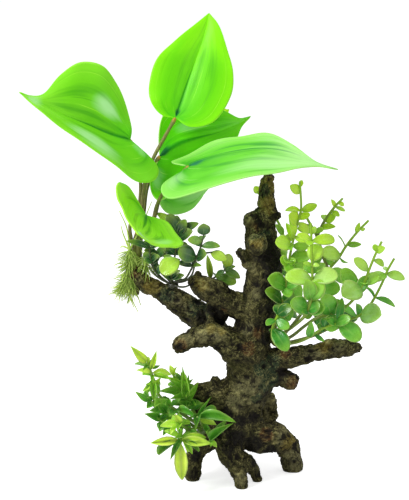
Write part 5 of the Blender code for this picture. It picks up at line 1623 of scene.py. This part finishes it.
LIGHT_SPRIGS = (
    Sprig("tall", (
        [(15.6, 86, -6), (16.6, 95, -10), (20, 106, -13), (22.4, 116, -14), (24, 130, -13),
         (26.4, 143, -12), (30, 158, -10), (32, 166, -9), (31.2, 182.5, -9)],
    ), (
        (22, 117, 10.8, 121.6, -21, 9.5, 35), (22.4, 116, 33, 113, -7, 9, 45),
        (20, 106, 10.4, 114.6, -19, 9, 15, 20), (19.6, 104, 26, 97, -9, 7, 25),
        (24.4, 132, 18.8, 134, -17, 6, 65), (24.2, 131, 35, 128, -7, 8, 55),
        (26.2, 142, 15.6, 144.4, -16, 8.5, 70), (26.4, 142.6, 37, 142, -8, 5, 50, 30),
        (27.4, 148, 25, 160, -15, 4, 80, 20), (30, 157, 24, 161.6, -15, 8, 80),
        (30, 156, 36.6, 150, -6, 5, 95), (31.6, 164, 22.2, 164.8, -11, 4, 55, 20),
        (32, 165, 42, 168, -8, 4.4, 60, 20), (31.6, 175, 25, 180, -10, 5.4, 95),
        (31.4, 178, 32.4, 183.6, -7, 2.4, 65), (24.6, 133, 37.2, 136, -10, 7.6, 50),
        (27, 147, 36.6, 145, -14, 4.4, 75), (31, 159, 37.6, 162.6, -8, 4.2, 60),
        (26.6, 146, 22.4, 156.6, -12, 3.6, 75),
    )),
    Sprig("front", (
        [(18.4, 86, -7), (27, 92, -16), (34.6, 99, -22), (38.4, 109, -24), (39, 122, -24), (38.6, 136, -23),
         (38.4, 147, -22), (38, 156.6, -21)],
    ), (
        (38.4, 108, 35, 121.4, -29, 7.5, 45), (38.4, 108.4, 44.8, 121, -27, 9.4, 45),
        (39, 121, 22.4, 123.2, -28, 9, 95), (39, 121.4, 55, 124, -24, 9, 90),
        (38.6, 132, 42.6, 143.4, -18, 8.4, 85), (38.4, 145, 53.4, 146.4, -19, 6, 70, 10),
        (38.4, 145, 29.4, 149.4, -22, 4.2, 75), (38.2, 149, 41, 154.4, -17, 3, 60),
        (36.4, 102, 26, 107.4, -29, 9.6, 30), (36.2, 101, 47, 104, -26, 8.6, 30),
        (38.8, 130, 33.2, 131.6, -26, 2.4, 70), (38.8, 130, 43.4, 130, -25, 2.4, 70),
        (39, 125, 46.8, 131, -18, 4.4, 40), (38.9, 124, 33.8, 130.6, -18, 4.4, 30),
    )),
    Sprig("rear", (
        [(20.4, 86, 2), (30, 97, 7), (40, 112, 10), (49, 127, 10), (55, 134, 9), (60, 142, 8),
         (66.8, 150.6, 8), (74.2, 158.2, 8)],
        [(49, 127, 10), (46, 135, 13), (43, 145, 14), (40, 152, 15), (36, 159, 14), (33.4, 165.6, 13)],
        [(41.7, 148, 14.4), (46.4, 157.4, 15), (52.6, 166.2, 14), (58, 172, 13)],
    ), (
        (57.2, 136, 44.8, 137.6, 3, 8.6, 85), (55.6, 134.6, 61.4, 131.4, 13, 1.8, 30, 70),
        (60, 142.6, 69.8, 143.2, 5, 3.2, 45, 20), (60, 142, 55, 149, 14, 4, 30, 75),
        (66.4, 151, 68.4, 156.6, 6, 2.6, 60), (69, 154, 72, 153, 9, 2.4, 60, 60),
        (42, 116, 56.4, 115, 5, 9.2, 40), (36, 106, 46, 98, 14, 8, 20), (32, 100, 28, 110, 16, 8, 20),
        (49, 127, 60, 121, 16, 8, 50), (40, 151.4, 30, 153.4, 12, 5.6, 60),
        (47, 152, 53.8, 154, 10, 3.8, 50), (47.2, 157.4, 53.6, 160.6, 12, 5.4, 60),
        (46, 135, 38, 130, 20, 7, 50), (53, 166, 50.6, 171.4, 12, 2.4, 80),
        (53.4, 166.4, 59.6, 164, 15, 2.4, 60), (55.4, 168.6, 58.8, 167.4, 12, 2.6, 80),
        (51, 163.6, 56, 160.6, 12, 3.2, 50),
    )),
    Sprig("right", (
        [(20.8, 83, -5), (27, 86.4, -8), (34, 92, -10), (42, 97.4, -12), (52, 100, -12), (62, 106, -11),
         (70, 116, -9), (74, 126, -8), (78, 136, -7), (82.4, 145, -7)],
    ), (
        (70, 115.4, 57.4, 110.8, -18, 11.8, 85), (66, 112, 58, 128.4, -4, 8.4, 30),
        (66, 111, 58.6, 120, -10, 7, 95), (71, 118, 80.4, 124, -4, 6.4, 50),
        (74.4, 127, 65, 134.4, -10, 5.6, 85), (76.4, 133.4, 84.4, 130, -3, 4, 80),
        (79, 138, 84.8, 141, -10, 4.4, 65), (79, 138, 77.8, 143.4, -4, 3.4, 65),
        (52, 96, 46.4, 111, -18, 10.5, 40), (53, 97, 50, 88.4, -17, 8.4, 45),
    )),
    Sprig("far_right", (
        [(21.4, 81.4, 0), (38, 85.6, 0), (48, 90, 0), (57, 94.4, 0), (68, 98.4, -1), (74, 104, -1),
         (78, 110, 0), (82.6, 119, 1), (86, 127, 2), (90.2, 134.4, 2)],
    ), (
        (69, 99, 82.4, 99, -10, 11.6, 85), (67, 98, 56, 104.4, -5, 6, 35, 30),
        (78, 110, 91, 104.6, -3, 3.8, 55, -15), (78, 110, 72, 116.4, 7, 1.4, 30, 70),
        (84.6, 125, 74.8, 121, -3, 6, 85), (85, 125, 97, 121.8, 0, 5.4, 85),
        (86, 127, 83.6, 129, 5, 2.4, 85), (56, 94, 66, 100, 12, 8, 20), (46, 90, 42, 99, 10, 7, 20),
    )),
    Sprig("low", (
        [(20.4, 81, -8), (29, 82, -13), (37, 85.2, -16), (46, 91, -17), (55, 94, -16)],
    ), (
        (55, 94, 69, 83, -22, 9.8, 45), (54, 94, 63, 97.4, -21, 6, 40), (46, 92.4, 48, 98, -23, 5, 25),
        (37, 87, 38.4, 95.4, -22, 4.4, 30), (41, 87, 46.6, 82.6, -19, 2.4, 20, 20),
        (62, 106, 57.6, 109.6, -14, 4.4, 30),
    )),
    Sprig("near_trunk", (
        [(14, 84.4, -10), (14.4, 92, -15), (17.4, 99, -18)],
    ), (
        (14.6, 91, 23.4, 76.4, -23, 8.4, 30), (16, 96, 24.6, 91, -22, 6, 35, 20),
        (17.2, 98.4, 26, 104.4, -22, 7, 20),
    )),
    Sprig("behind_spire", (
        [(17, 86, 6), (20, 100, 14), (22.6, 125, 19), (21, 148, 20), (16.6, 159, 20.6), (9.4, 170, 22),
         (4.4, 176.4, 22)],
    ), (
        (5.4, 175, 2.6, 179.4, 22, 4.2, 90), (21, 147, 27.4, 147, 18, 5, 55),
        (20, 148, 16.2, 155.6, 16, 3.8, 40), (23, 134, 18.4, 138.8, 10, 5, 40),
        (22.4, 122, 20.2, 127.6, 8, 3.6, 30), (22.4, 127, 14, 134, 28, 8, 15),
        (22.2, 120, 32, 122, 25, 8, 20), (20.4, 104, 12, 110, 26, 8, 10), (20, 101, 30, 100, 24, 8, 10),
    )),
)
DARK_SPRIGS = (
    Sprig("right", (
        [(-45.6, 120.4, -4), (-40.6, 121.6, -7), (-37, 127, -9), (-33.6, 134.4, -9), (-31, 141, -9),
         (-28.8, 149, -9)],
        [(-33.4, 136, -9), (-28.6, 137.6, -9), (-23, 138.4, -9)],
        [(-46.8, 117.4, -3), (-43.4, 116.6, -5), (-40, 116.8, -5), (-36.6, 118.4, -4)],
        [(-46, 119.4, -2), (-40.4, 120.4, -5), (-36.4, 124, -6), (-34.8, 129, -7), (-33.8, 133, -8)],
    ), (
        (-28.8, 148.4, -29, 156.4, -12, 6.6, 20), (-29.6, 145, -39, 146, -12, 4.8, 40, -14),
        (-30.2, 142, -18.6, 142.4, -10, 4.4, 50, -6), (-24, 138.4, -14.4, 133.4, -11, 5.4, 90, 10),
        (-33.6, 135.4, -45, 138.8, -13, 9.6, 25), (-36, 130, -44.4, 131.4, -11, 5, 10, 20),
        (-36, 129, -30, 129.6, -14, 2.4, 40),
    )),
    Sprig("behind_branch", (
        [(-45, 121, 2), (-38, 121, 7), (-30, 121.4, 8.4), (-24, 121.6, 7), (-18, 125.4, 6),
         (-14.6, 128.4, 5)],
    ), (
        (-24, 121.8, -26.8, 136.8, 4, 3.4, 85), (-15, 128, -13, 137.4, 2, 6, 75),
        (-16, 127, -9.4, 129.6, 2, 3, 50), (-16, 127, -6, 122, 2, 4.4, 30, 10),
        (-20.6, 123.4, -8.6, 119, 0, 6.8, 45),
    )),
    Sprig("upright", (
        [(-48.6, 123.6, 1), (-47.6, 132, 3), (-46, 141, 4), (-44.4, 151, 4)],
    ), (
        (-44.8, 148.6, -52, 162, 1, 7.6, 10), (-44.6, 150, -45.8, 161.4, 8, 4.4, 10, 20),
        (-44.6, 151.4, -32.4, 156.6, 2, 4.6, 20, 10), (-45, 146, -35.6, 151.6, -2, 6.4, 5),
        (-46, 141, -39, 143.4, 0, 5, 10), (-47, 136, -53, 142, 8, 6, 10),
        (-46, 151, -58.2, 162.6, 8, 5, 75),
    )),
    Sprig("near", (
        [(-49.4, 121.4, -5.4), (-48, 127, -11), (-44, 134, -13)],
    ), (
        (-44, 134, -55.4, 125, -17, 9.8, 95), (-47, 121.4, -41, 124, -8, 3.6, 15),
        (-48, 121.4, -44, 127, -8, 3.6, 10), (-47.6, 132, -54, 135.6, -3, 3, 20),
    )),
    Sprig("left", (
        [(-52, 119.8, -2), (-57.2, 124.2, -4), (-60, 127.8, -4), (-61.8, 133, -4), (-62.8, 142, -3),
         (-63, 148, -2)],
        [(-50.6, 119, -3), (-55.8, 121.6, -5), (-60.4, 125.2, -5), (-63.2, 129.4, -4)],
    ), (
        (-62.6, 141, -76.6, 145.6, -10, 3.6, 10), (-60.4, 133, -66, 132, -8, 4.6, 15),
        (-60.6, 134, -57, 136.4, -9, 4, 20), (-62.8, 143, -58, 146, -6, 4, 20),
        (-57.6, 126, -53, 130, -8, 4, 10), (-60, 132, -66, 138.6, 1, 5, 15),
    )),
    Sprig("rear", (
        [(-50.8, 121, 3), (-56, 126, 6), (-57.6, 130, 8), (-58.4, 135.4, 9)],
    ), (
        (-59.4, 137, -66.6, 139.6, 2, 5.4, 15), (-59.4, 137, -52.6, 141.4, 6, 5, 20),
        (-58, 131, -61.4, 128, 12, 4.4, 15),
    )),
)
NARROW_SPRIGS = (
    Sprig("star", (
        [(-32.4, 28.6, -18), (-38, 27, -26), (-44, 21, -31)],
        [(-38, 27, -26), (-44, 31, -29)],
    ), (
        (-44, 20.6, -42.3, -5.2, -34, 8, 100), (-44, 19.4, -62.4, 19, -33, 5.4, 100, -14),
        (-43.6, 20.4, -24, 18.6, -31, 6.2, 90, 10), (-43, 21.4, -26.8, 22.6, -27, 5, 80, 10),
        (-44, 31, -47, 37.4, -30, 4.6, 90), (-44, 31, -56.4, 29.6, -30, 5, 80),
        (-44, 30, -50, 24.4, -34, 4, 75, 20), (-43, 23, -57.2, 11.2, -24, 4.8, 20),
        (-41, 24, -47.6, 12, -20, 2.7, 30), (-44, 24, -54, 27, -26, 4, 60),
        (-38, 30.6, -45.6, 37.2, -20, 2.7, 40), (-38, 27, -33, 25, -22, 3.2, 30),
        (-41, 22, -38, 12.6, -22, 4, 80),
    )),
    Sprig("right", (
        [(-30, 30.4, -17.4), (-31, 34, -23), (-33, 35, -28)],
    ), (
        (-32.8, 35, -8.6, 32.2, -34, 6, 25), (-31.4, 34.4, -21, 30.4, -30, 5.6, 80),
        (-32, 34.6, -25, 47.4, -29, 2.4, 30),
    )),
    Sprig("trunk_side", (
        [(-26.4, 26.4, -17), (-25, 23, -22), (-24.4, 20.4, -25)],
    ), (
        (-24.4, 20.8, -10.8, 31.4, -32, 4.8, 25), (-24.6, 21, -20.6, 16.4, -27, 3, 60),
    )),
    Sprig("long", (
        [(-33, 31, -15), (-42, 37, -17), (-51, 43, -19), (-57.4, 50, -20), (-60.2, 59, -20),
         (-64.2, 69.4, -20)],
    ), (
        (-64.2, 69.4, -74.8, 79.9, -23, 5.4, 100, -16), (-61.4, 66.6, -72.4, 68.6, -17, 3, 15, 30),
        (-60.8, 63.4, -71, 64.8, -22, 3.4, 95), (-62.4, 67.4, -63.6, 73, -16, 2.4, 80),
        (-59, 62, -61.4, 60.2, -14, 2.6, 80), (-60, 64.6, -58.4, 76.6, -18, 3.4, 85, 10),
        (-56.6, 60.4, -60, 45.4, -25, 4.4, 35), (-59, 58, -67.2, 51.4, -22, 3, 80, -20),
        (-60, 63.4, -48.8, 61.8, -18, 4.6, 85), (-55, 47, -60, 41.4, -24, 4, 40),
        (-49, 42, -57.6, 46.8, -24, 4.4, 35), (-58.6, 54, -56, 60, -24, 3.2, 60),
        (-60.6, 61.6, -49, 58.6, -22, 3.6, 60), (-44, 43, -50.4, 35.6, -23, 4.6, 20),
    )),
    Sprig("upright", (
        [(-31.4, 32, -10), (-37, 42, -10), (-43, 52, -10), (-48, 62, -11)],
    ), (
        (-47.6, 61.4, -45.6, 67, -12, 2, 85), (-48.6, 60.8, -50.2, 68, -8, 3.4, 95),
        (-44, 54, -47.4, 64, -4, 2.7, 30, 30), (-40.4, 47.6, -42.2, 66.8, -13, 5, 40),
        (-43, 52, -50.4, 58.6, -18, 3.6, 35), (-38, 41, -46.4, 45, -16, 3.6, 30),
        (-35, 34, -43.4, 38.4, -8, 3.6, 30), (-43, 50, -57, 51.4, -16, 5, 40),
        (-45, 55, -51, 60.4, -14, 4, 55), (-40.6, 46, -50, 46.6, -18, 4.4, 30),
        (-39, 44.6, -50, 43, -14, 4.8, 25), (-43, 52, -50.6, 53.6, -9, 3.6, 45),
        (-38.4, 44.4, -32, 57, -6, 3.6, 50), (-36, 40, -45, 47.4, -6, 5, 20),
        (-41.6, 49.6, -37, 54, -2, 4, 30),
    )),
    Sprig("left", (
        [(-34, 29, -11), (-42, 34, -10), (-50, 36.6, -10), (-57, 41, -10), (-62, 45.4, -10)],
        [(-38, 31, -12), (-45, 29.6, -13), (-51, 30.6, -13), (-57.6, 34.4, -12)],
    ), (
        (-61.8, 45.2, -71.6, 51, -12, 4.2, 25, -20), (-60, 44, -64.6, 40.6, -13, 4.4, 20),
        (-56, 40.4, -61, 50.6, -6, 4, 30), (-52, 37.8, -58.6, 44.4, -15, 6.4, 15),
        (-56, 34, -66.2, 37.4, -16, 5.2, 25, -6), (-55, 33, -56.4, 26, -16, 4.4, 30),
        (-52, 40, -62.8, 39.4, -12, 4.6, 20), (-50, 30, -54.6, 23.4, -18, 4, 35),
        (-48, 30.6, -52.6, 37, -12, 4, 35), (-50, 36.6, -57, 31, -13, 4.2, 35),
        (-46, 35.6, -53, 26, -6, 4, 10), (-42, 34, -38, 26.4, -5, 4, 20),
    )),
)


@dataclass
class SprigPlant:
    """A plant of sprigs that grow from one foot, with its sizes in millimetres.

    Leaves narrower than oval_below take the forms of the second half, and each takes one of form_choice.
    Each leaf whose tint is below palest has smaller partners beside it, darker by shaded_partner_tint as
    painted shade among the leaves, each with a turn about the upright in degrees and a size against the
    leaf's own, and leaves narrower than alone_below have none. The variety is how much the leaves' tints
    differ. A stem's radius is stem_foot times stem_radius where it starts and stem_tip times that at its
    end. The foot has lumps of two depths. Leaves face the first of facings, or the second where they point
    along it.
    """

    name: str
    foot: Place
    foot_sizes: Place
    sprigs: tuple[Sprig, ...]
    forms: tuple[LeafForm, ...]
    finish: SmallLeafFinish
    stem_radius: float
    oval_below: float
    fullness: float
    partners: tuple[tuple[float, float], ...]
    alone_below: float = 0.0
    variety: float = 0.1
    palest: float = 0.8
    shaded_partner_tint: float = 0.75
    stem_foot: float = 1.25
    stem_tip: float = 0.85
    stem_step: float = 1.8
    stem_sides: int = 8
    form_choice: int = 3
    lumps: tuple[float, float] = (0.12, 0.05)
    facings: tuple[Place, Place] = ((0.0, -0.8, 0.6), (0.0, 0.6, 0.8))

    @staticmethod
    def nearest_on(routes: list[list[Vector]], across: float, up: float) -> Vector:
        """Find the place on the stems that shows nearest to a point of the front view.

        Args:
            routes: the stems' routes.
            across: the point, across.
            up: the point, up.

        Returns:
            The place.
        """
        def gap(place: Vector) -> float:
            """Measure how far a place shows from the point."""
            return (VIEW.place(across, up, place.y / MM + VIEW.centre_behind) - place).length

        return min((station.xyz for route in routes for station in route), key=gap)

    def seat(self, plan: Plan, routes: list[list[Vector]], number: int, leaf: tuple[float, ...]) -> None:
        """Add the points that seat one leaf and its partners.

        Args:
            plan: the sprig's plan.
            routes: the stems' routes.
            number: the leaf's number, which sets its form.
            leaf: the leaf's row.
        """
        base_across, base_up, tip_across, tip_up, tip_behind, width, tint, *rolled = leaf
        start = self.nearest_on(routes, base_across, base_up)
        end = VIEW.place(tip_across, tip_up, tip_behind)
        tint = tint / 100 + self.variety * math.sin(number * 2.4)
        partners = self.partners if tint < self.palest and width >= self.alone_below else ()
        for order, (turned, share) in enumerate(((0.0, 1.0), *partners)):
            way = (end - start).normalized()
            way.rotate(Quaternion((0.0, 0.0, 1.0), math.radians(turned * (1 - 2 * (number % 2)))))
            facing, spare = (Vector(facing) for facing in self.facings)
            if abs(facing.dot(way)) > 0.9:
                facing = spare
            normal = (facing - way * facing.dot(way)).normalized()
            normal.rotate(Quaternion(way, math.radians(sum(rolled))))
            turn = Matrix((way, normal.cross(way), normal)).transposed().to_euler()
            length = (end - start).length * share
            half = width * MM / 2 * self.fullness * share
            first = len(self.forms) // 2 if width < self.oval_below else 0
            # A partner's tint is darker: painted shade among the leaves.
            plan.point(start, tint=tint * (self.shaded_partner_tint if order else 1.0), leaf=True, turn=tuple(turn),
                       kind=first + (number * 2 + len(routes) + order) % self.form_choice,
                       size=(length, half, length))

    def grow_sprig(self, sprig: Sprig, forms: Collection, material: Material) -> Object:
        """Make one sprig.

        Args:
            sprig: the sprig.
            forms: the leaf forms.
            material: the plant's material.

        Returns:
            The piece.
        """
        plan = Plan()
        routes = []
        for stem in ([self.foot, *sprig.stems[0]], *sprig.stems[1:]):
            thinning = np.linspace(self.stem_foot, self.stem_tip, len(stem)) * self.stem_radius
            stations = [(*place, radius) for place, radius in zip(stem, thinning.tolist())]
            routes.append(smooth_route(stations, self.stem_step))
            plan.run(routes[-1])
        for number, leaf in enumerate(sprig.leaves):
            self.seat(plan, routes, number, leaf)
        name = f"{self.name}_{sprig.name}_sprig"
        piece = show(name, plan.mesh(name))
        grow(piece, GROWTH.sprig, {"Leaves": forms, "Sides": self.stem_sides, "Material": material})
        return settle(piece, self.name, f"{self.name}_{sprig.name}")

    def foot_piece(self, material: Material) -> Object:
        """Make the foot that the sprigs grow from: a lumpy ball of pressed plastic.

        Args:
            material: the plant's material.

        Returns:
            The piece.
        """
        shape = bmesh.new()
        bmesh.ops.create_icosphere(shape, subdivisions=4, radius=1.0)
        centre = VIEW.place(*self.foot)
        coarse, fine = self.lumps
        for corner in shape.verts:
            lump = 1.0 + coarse * noise.noise(corner.co * 3.0) + fine * noise.noise(corner.co * 9.0)
            corner.co = corner.co * Vector(self.foot_sizes) * lump * MM + centre
        name = self.name + "_base"
        piece = show(name, solid(shape, bpy.data.meshes.new(name)))
        piece.data.materials.append(material)
        return settle(piece, self.name, self.name + "_foot")

    def build(self) -> list[Object]:
        """Make the foot and the sprigs.

        Returns:
            The pieces.
        """
        material = self.finish.material
        with spare_forms({form.name: form.mesh() for form in self.forms}) as forms:
            sprigs = [self.grow_sprig(sprig, forms, material) for sprig in self.sprigs]
        return [self.foot_piece(material), *sprigs]


SPRIG_PLANTS = (
    SprigPlant("light_shrub", (17.2, 82.5, -3), (4.0, 3.8, 3.2), LIGHT_SPRIGS, SHRUB_FORMS, LIGHT_FINISH,
               0.85, 5.5, 1.2, ((115.0, 0.72),), 4.5, 0.14),
    SprigPlant("dark_shrub", (-48.4, 118.0, -0.5), (3.6, 3.4, 2.4), DARK_SPRIGS, SHRUB_FORMS, DARK_FINISH,
               0.6, 5.5, 1.2, ((115.0, 0.75),), 0.0, 0.14),
    SprigPlant("narrow_plant", (-29.6, 27.4, -13), (3.4, 3.4, 3.0), NARROW_SPRIGS, NARROW_FORMS,
               NARROW_FINISH, 0.95, 0.0, 1.05, ((62.0, 0.8), (-78.0, 0.75), (150.0, 0.7)), 2.8, 0.08),
)


@dataclass(frozen=True)
class MossFinish:
    """Fine matt strands, from yellow green to a darker green, with patches and speckles in metres."""

    deep: Colour = paint("749e2a")
    light: Colour = paint("d6ec7a")
    patches: tuple[float, float] = (0.004, 0.0006)

    @property
    def material(self) -> Material:
        """The moss's material, which reads each strand's tint.

        Returns:
            The material.
        """
        wires = Finish("moss")
        patch, speckle = wires.uneven(*self.patches)
        tint = wires.math("MULTIPLY_ADD", patch, 0.4, wires.read("tint"))
        colour = wires.mix(tint, self.deep, self.light)
        colour = wires.mix(wires.remap(speckle, 0.6, 1.0, 0.0, 0.3), colour, self.deep)
        return wires.shader(Base_Color=colour, Roughness=wires.remap(speckle, 0.0, 1.0, 0.7, 0.9))


MOSS_BODY = [(-75, 140, 2, 1.8), (-75.2, 132, 1, 2.8), (-75, 123, 1, 3.2), (-75.4, 114, 2, 2.4)]
MOSS_LOBES = (
    [(-66.4, 136, 2, 1.4), (-65.6, 131, 1, 2.0), (-64.6, 126, 1, 1.2)],
    [(-77, 122, 0, 1.4), (-80.4, 117, 0, 1.6), (-82.6, 113, 1, 0.8)],
)
MOSS_TIPS = (
    (-83, 137, 0), (-85, 130, 4), (-86.4, 112.6, 0), (-82, 108.6, -2), (-77, 106, 3), (-81, 141, 4),
    (-84.4, 122, -4), (-80, 120, -8), (-82, 118, 8), (-80.6, 155, 3), (-81.6, 164, 0), (-70, 101, 2),
    (-86.4, 114, 1), (-84, 111.6, 3), (-85.6, 116, -1), (-83, 113, -2), (-68.2, 105, 4), (-72.6, 104, 3),
    (-61.4, 170, 6),
)


@dataclass
class MossTuft:
    """The moss round the crown: a body covered with fine needles, and longer strands to its tips.

    The density is how many needles grow on a square metre, and a needle is from shortest to longest metres
    long. The body under them has the core's share of its stations' radii. A strand thins from strand_foot
    to strand_tip. Both have a tint where they start and one where they end.
    """

    body: list[Station]
    lobes: tuple[list[Station], ...]
    tips: tuple[Place, ...]
    density: float = 2000000.0
    shortest: float = 0.004
    longest: float = 0.009
    droop: float = 1.0
    core: float = 0.62
    strand_foot: float = 0.0006
    strand_tip: float = 0.00025
    body_tints: tuple[float, float] = (0.1, 0.3)
    strand_tints: tuple[float, float] = (0.4, 0.9)
    ring_step: float = 1.5
    sides: int = 8

    @staticmethod
    def needle() -> Mesh:
        """Make one needle: three sides, a bend, and a point, one unit long.

        Returns:
            The mesh.
        """
        shape = bmesh.new()
        rings = []
        for along, girth, sag in ((0.0, 0.024, 0.0), (0.45, 0.026, -0.06), (0.8, 0.018, -0.19)):
            angles = [math.tau * number / 3 for number in range(3)]
            rings.append([shape.verts.new((along, girth * math.cos(angle), sag + girth * math.sin(angle)))
                          for angle in angles])
        rings.append([shape.verts.new((1.0, 0.0, -0.32))] * 3)
        for low, high in zip(rings, rings[1:]):
            for number in range(3):
                after = (number + 1) % 3
                corners = (low[number], low[after], high[after], high[number])
                shape.faces.new(tuple(dict.fromkeys(corners)))
        shape.faces.new(reversed(rings[0]))
        return solid(shape, bpy.data.meshes.new("needle"))

    def build(self) -> list[Object]:
        """Make the moss.

        Returns:
            The piece.
        """
        material = MossFinish().material
        plan = Plan()
        middle = smooth_route(self.body, self.ring_step)
        for stations in (self.body, *self.lobes):
            route = smooth_route(stations, self.ring_step)
            for station in route:
                station.w *= self.core
            plan.run(route, *self.body_tints)
        for number, tip in enumerate(self.tips):
            end = VIEW.place(*tip)
            start = min((station.xyz for station in middle), key=lambda place: (place - end).length)
            bend = (start + end) / 2 + Vector((0.0012 * (-1) ** number, 0.0008, 0.0014))
            places = smooth_row([start, bend, end], 4)
            girths = np.linspace(self.strand_foot, self.strand_tip, len(places))
            route = [Vector((*place, girth)) for place, girth in zip(places, girths)]
            plan.run(route, *self.strand_tints)
        piece = plan.piece("moss", self.sides, material)
        with spare_forms({"needle": self.needle()}) as forms:
            grow(piece, GROWTH.needles, {
                "Needle": forms, "Density": self.density, "Material": material, "Shortest": self.shortest,
                "Longest": self.longest, "Droop": self.droop})
        return [settle(piece, "moss", "moss_tuft")]


@dataclass
class Studio:
    """A pale floor, soft light from above and in front, and the camera.

    The floor reaches that many metres to each side, and floor_glow makes it show brighter than it lights, as
    a lit backdrop does. The sky is how bright the light from all round is.
    """

    floor_reach: float = 6.0
    floor: Colour = (0.92, 0.92, 0.92)
    floor_glow: float = 0.68
    sky: float = 0.36

    def lay_floor(self) -> None:
        """Lay the floor just under the object."""
        reach = self.floor_reach
        mesh = bpy.data.meshes.new("floor")
        corners = [(-reach, -reach, 0.0), (reach, -reach, 0.0), (reach, reach, 0.0), (-reach, reach, 0.0)]
        mesh.from_pydata(corners, [], [(0, 1, 2, 3)])
        wires = Finish("pale_floor")
        glow = wires.mix(wires.camera_ray(), (0.0, 0.0, 0.0), (1.0, 1.0, 1.0))
        mesh.materials.append(wires.shader(Base_Color=self.floor, Roughness=0.9, Emission_Color=glow,
                                           Emission_Strength=self.floor_glow))
        show("floor", mesh)

    @staticmethod
    def lamp(name: str, place: Place, target: Place, size: float, power: float) -> None:
        """Hang a square soft lamp.

        Args:
            name: its name.
            place: where it hangs, in metres.
            target: where it points.
            size: its side, in metres.
            power: its power, in watts.
        """
        light = bpy.data.lights.new(name, "AREA")
        light.shape = "SQUARE"
        light.size = size
        light.energy = power
        lamp = show(name, light)
        lamp.location = place
        lamp.rotation_euler = (Vector(target) - Vector(place)).to_track_quat("-Z", "Y").to_euler()

    def build(self) -> None:
        """Set the floor, the light and the camera."""
        world = bpy.data.worlds.new("soft_sky")
        world.use_nodes = True
        wires = Wiring(world.node_tree)
        wires.fill(world.node_tree.nodes["Background"], Color=(1.0, 1.0, 1.0),
                   Strength=wires.remap(wires.camera_ray(), 0.0, 1.0, self.sky, 1.0))
        bpy.context.scene.world = world
        bpy.context.scene.view_settings.view_transform = "Standard"
        self.lay_floor()
        self.lamp("key", (-0.75, -0.5, 0.85), (0.0, 0.0, 0.13), 0.4, 9.0)
        self.lamp("fill", (0.8, -0.5, 0.6), (0.0, 0.0, 0.12), 0.6, 1.2)
        self.lamp("top", (0.1, 0.2, 1.0), (0.0, 0.0, 0.12), 0.6, 2.0)
        VIEW.camera()


def main() -> None:
    """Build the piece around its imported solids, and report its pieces."""
    logging.basicConfig(level=logging.INFO, format="%(name)s: %(message)s")
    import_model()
    Studio().build()
    moss = MossTuft(MOSS_BODY, MOSS_LOBES, MOSS_TIPS)
    for maker in (Driftwood(), BigLeafPlant(), *SPRIG_PLANTS, moss):
        for piece in maker.build():
            LOG.info("%s: %d faces", piece.name, len(piece.data.polygons))


if __name__ == "__main__":
    main()
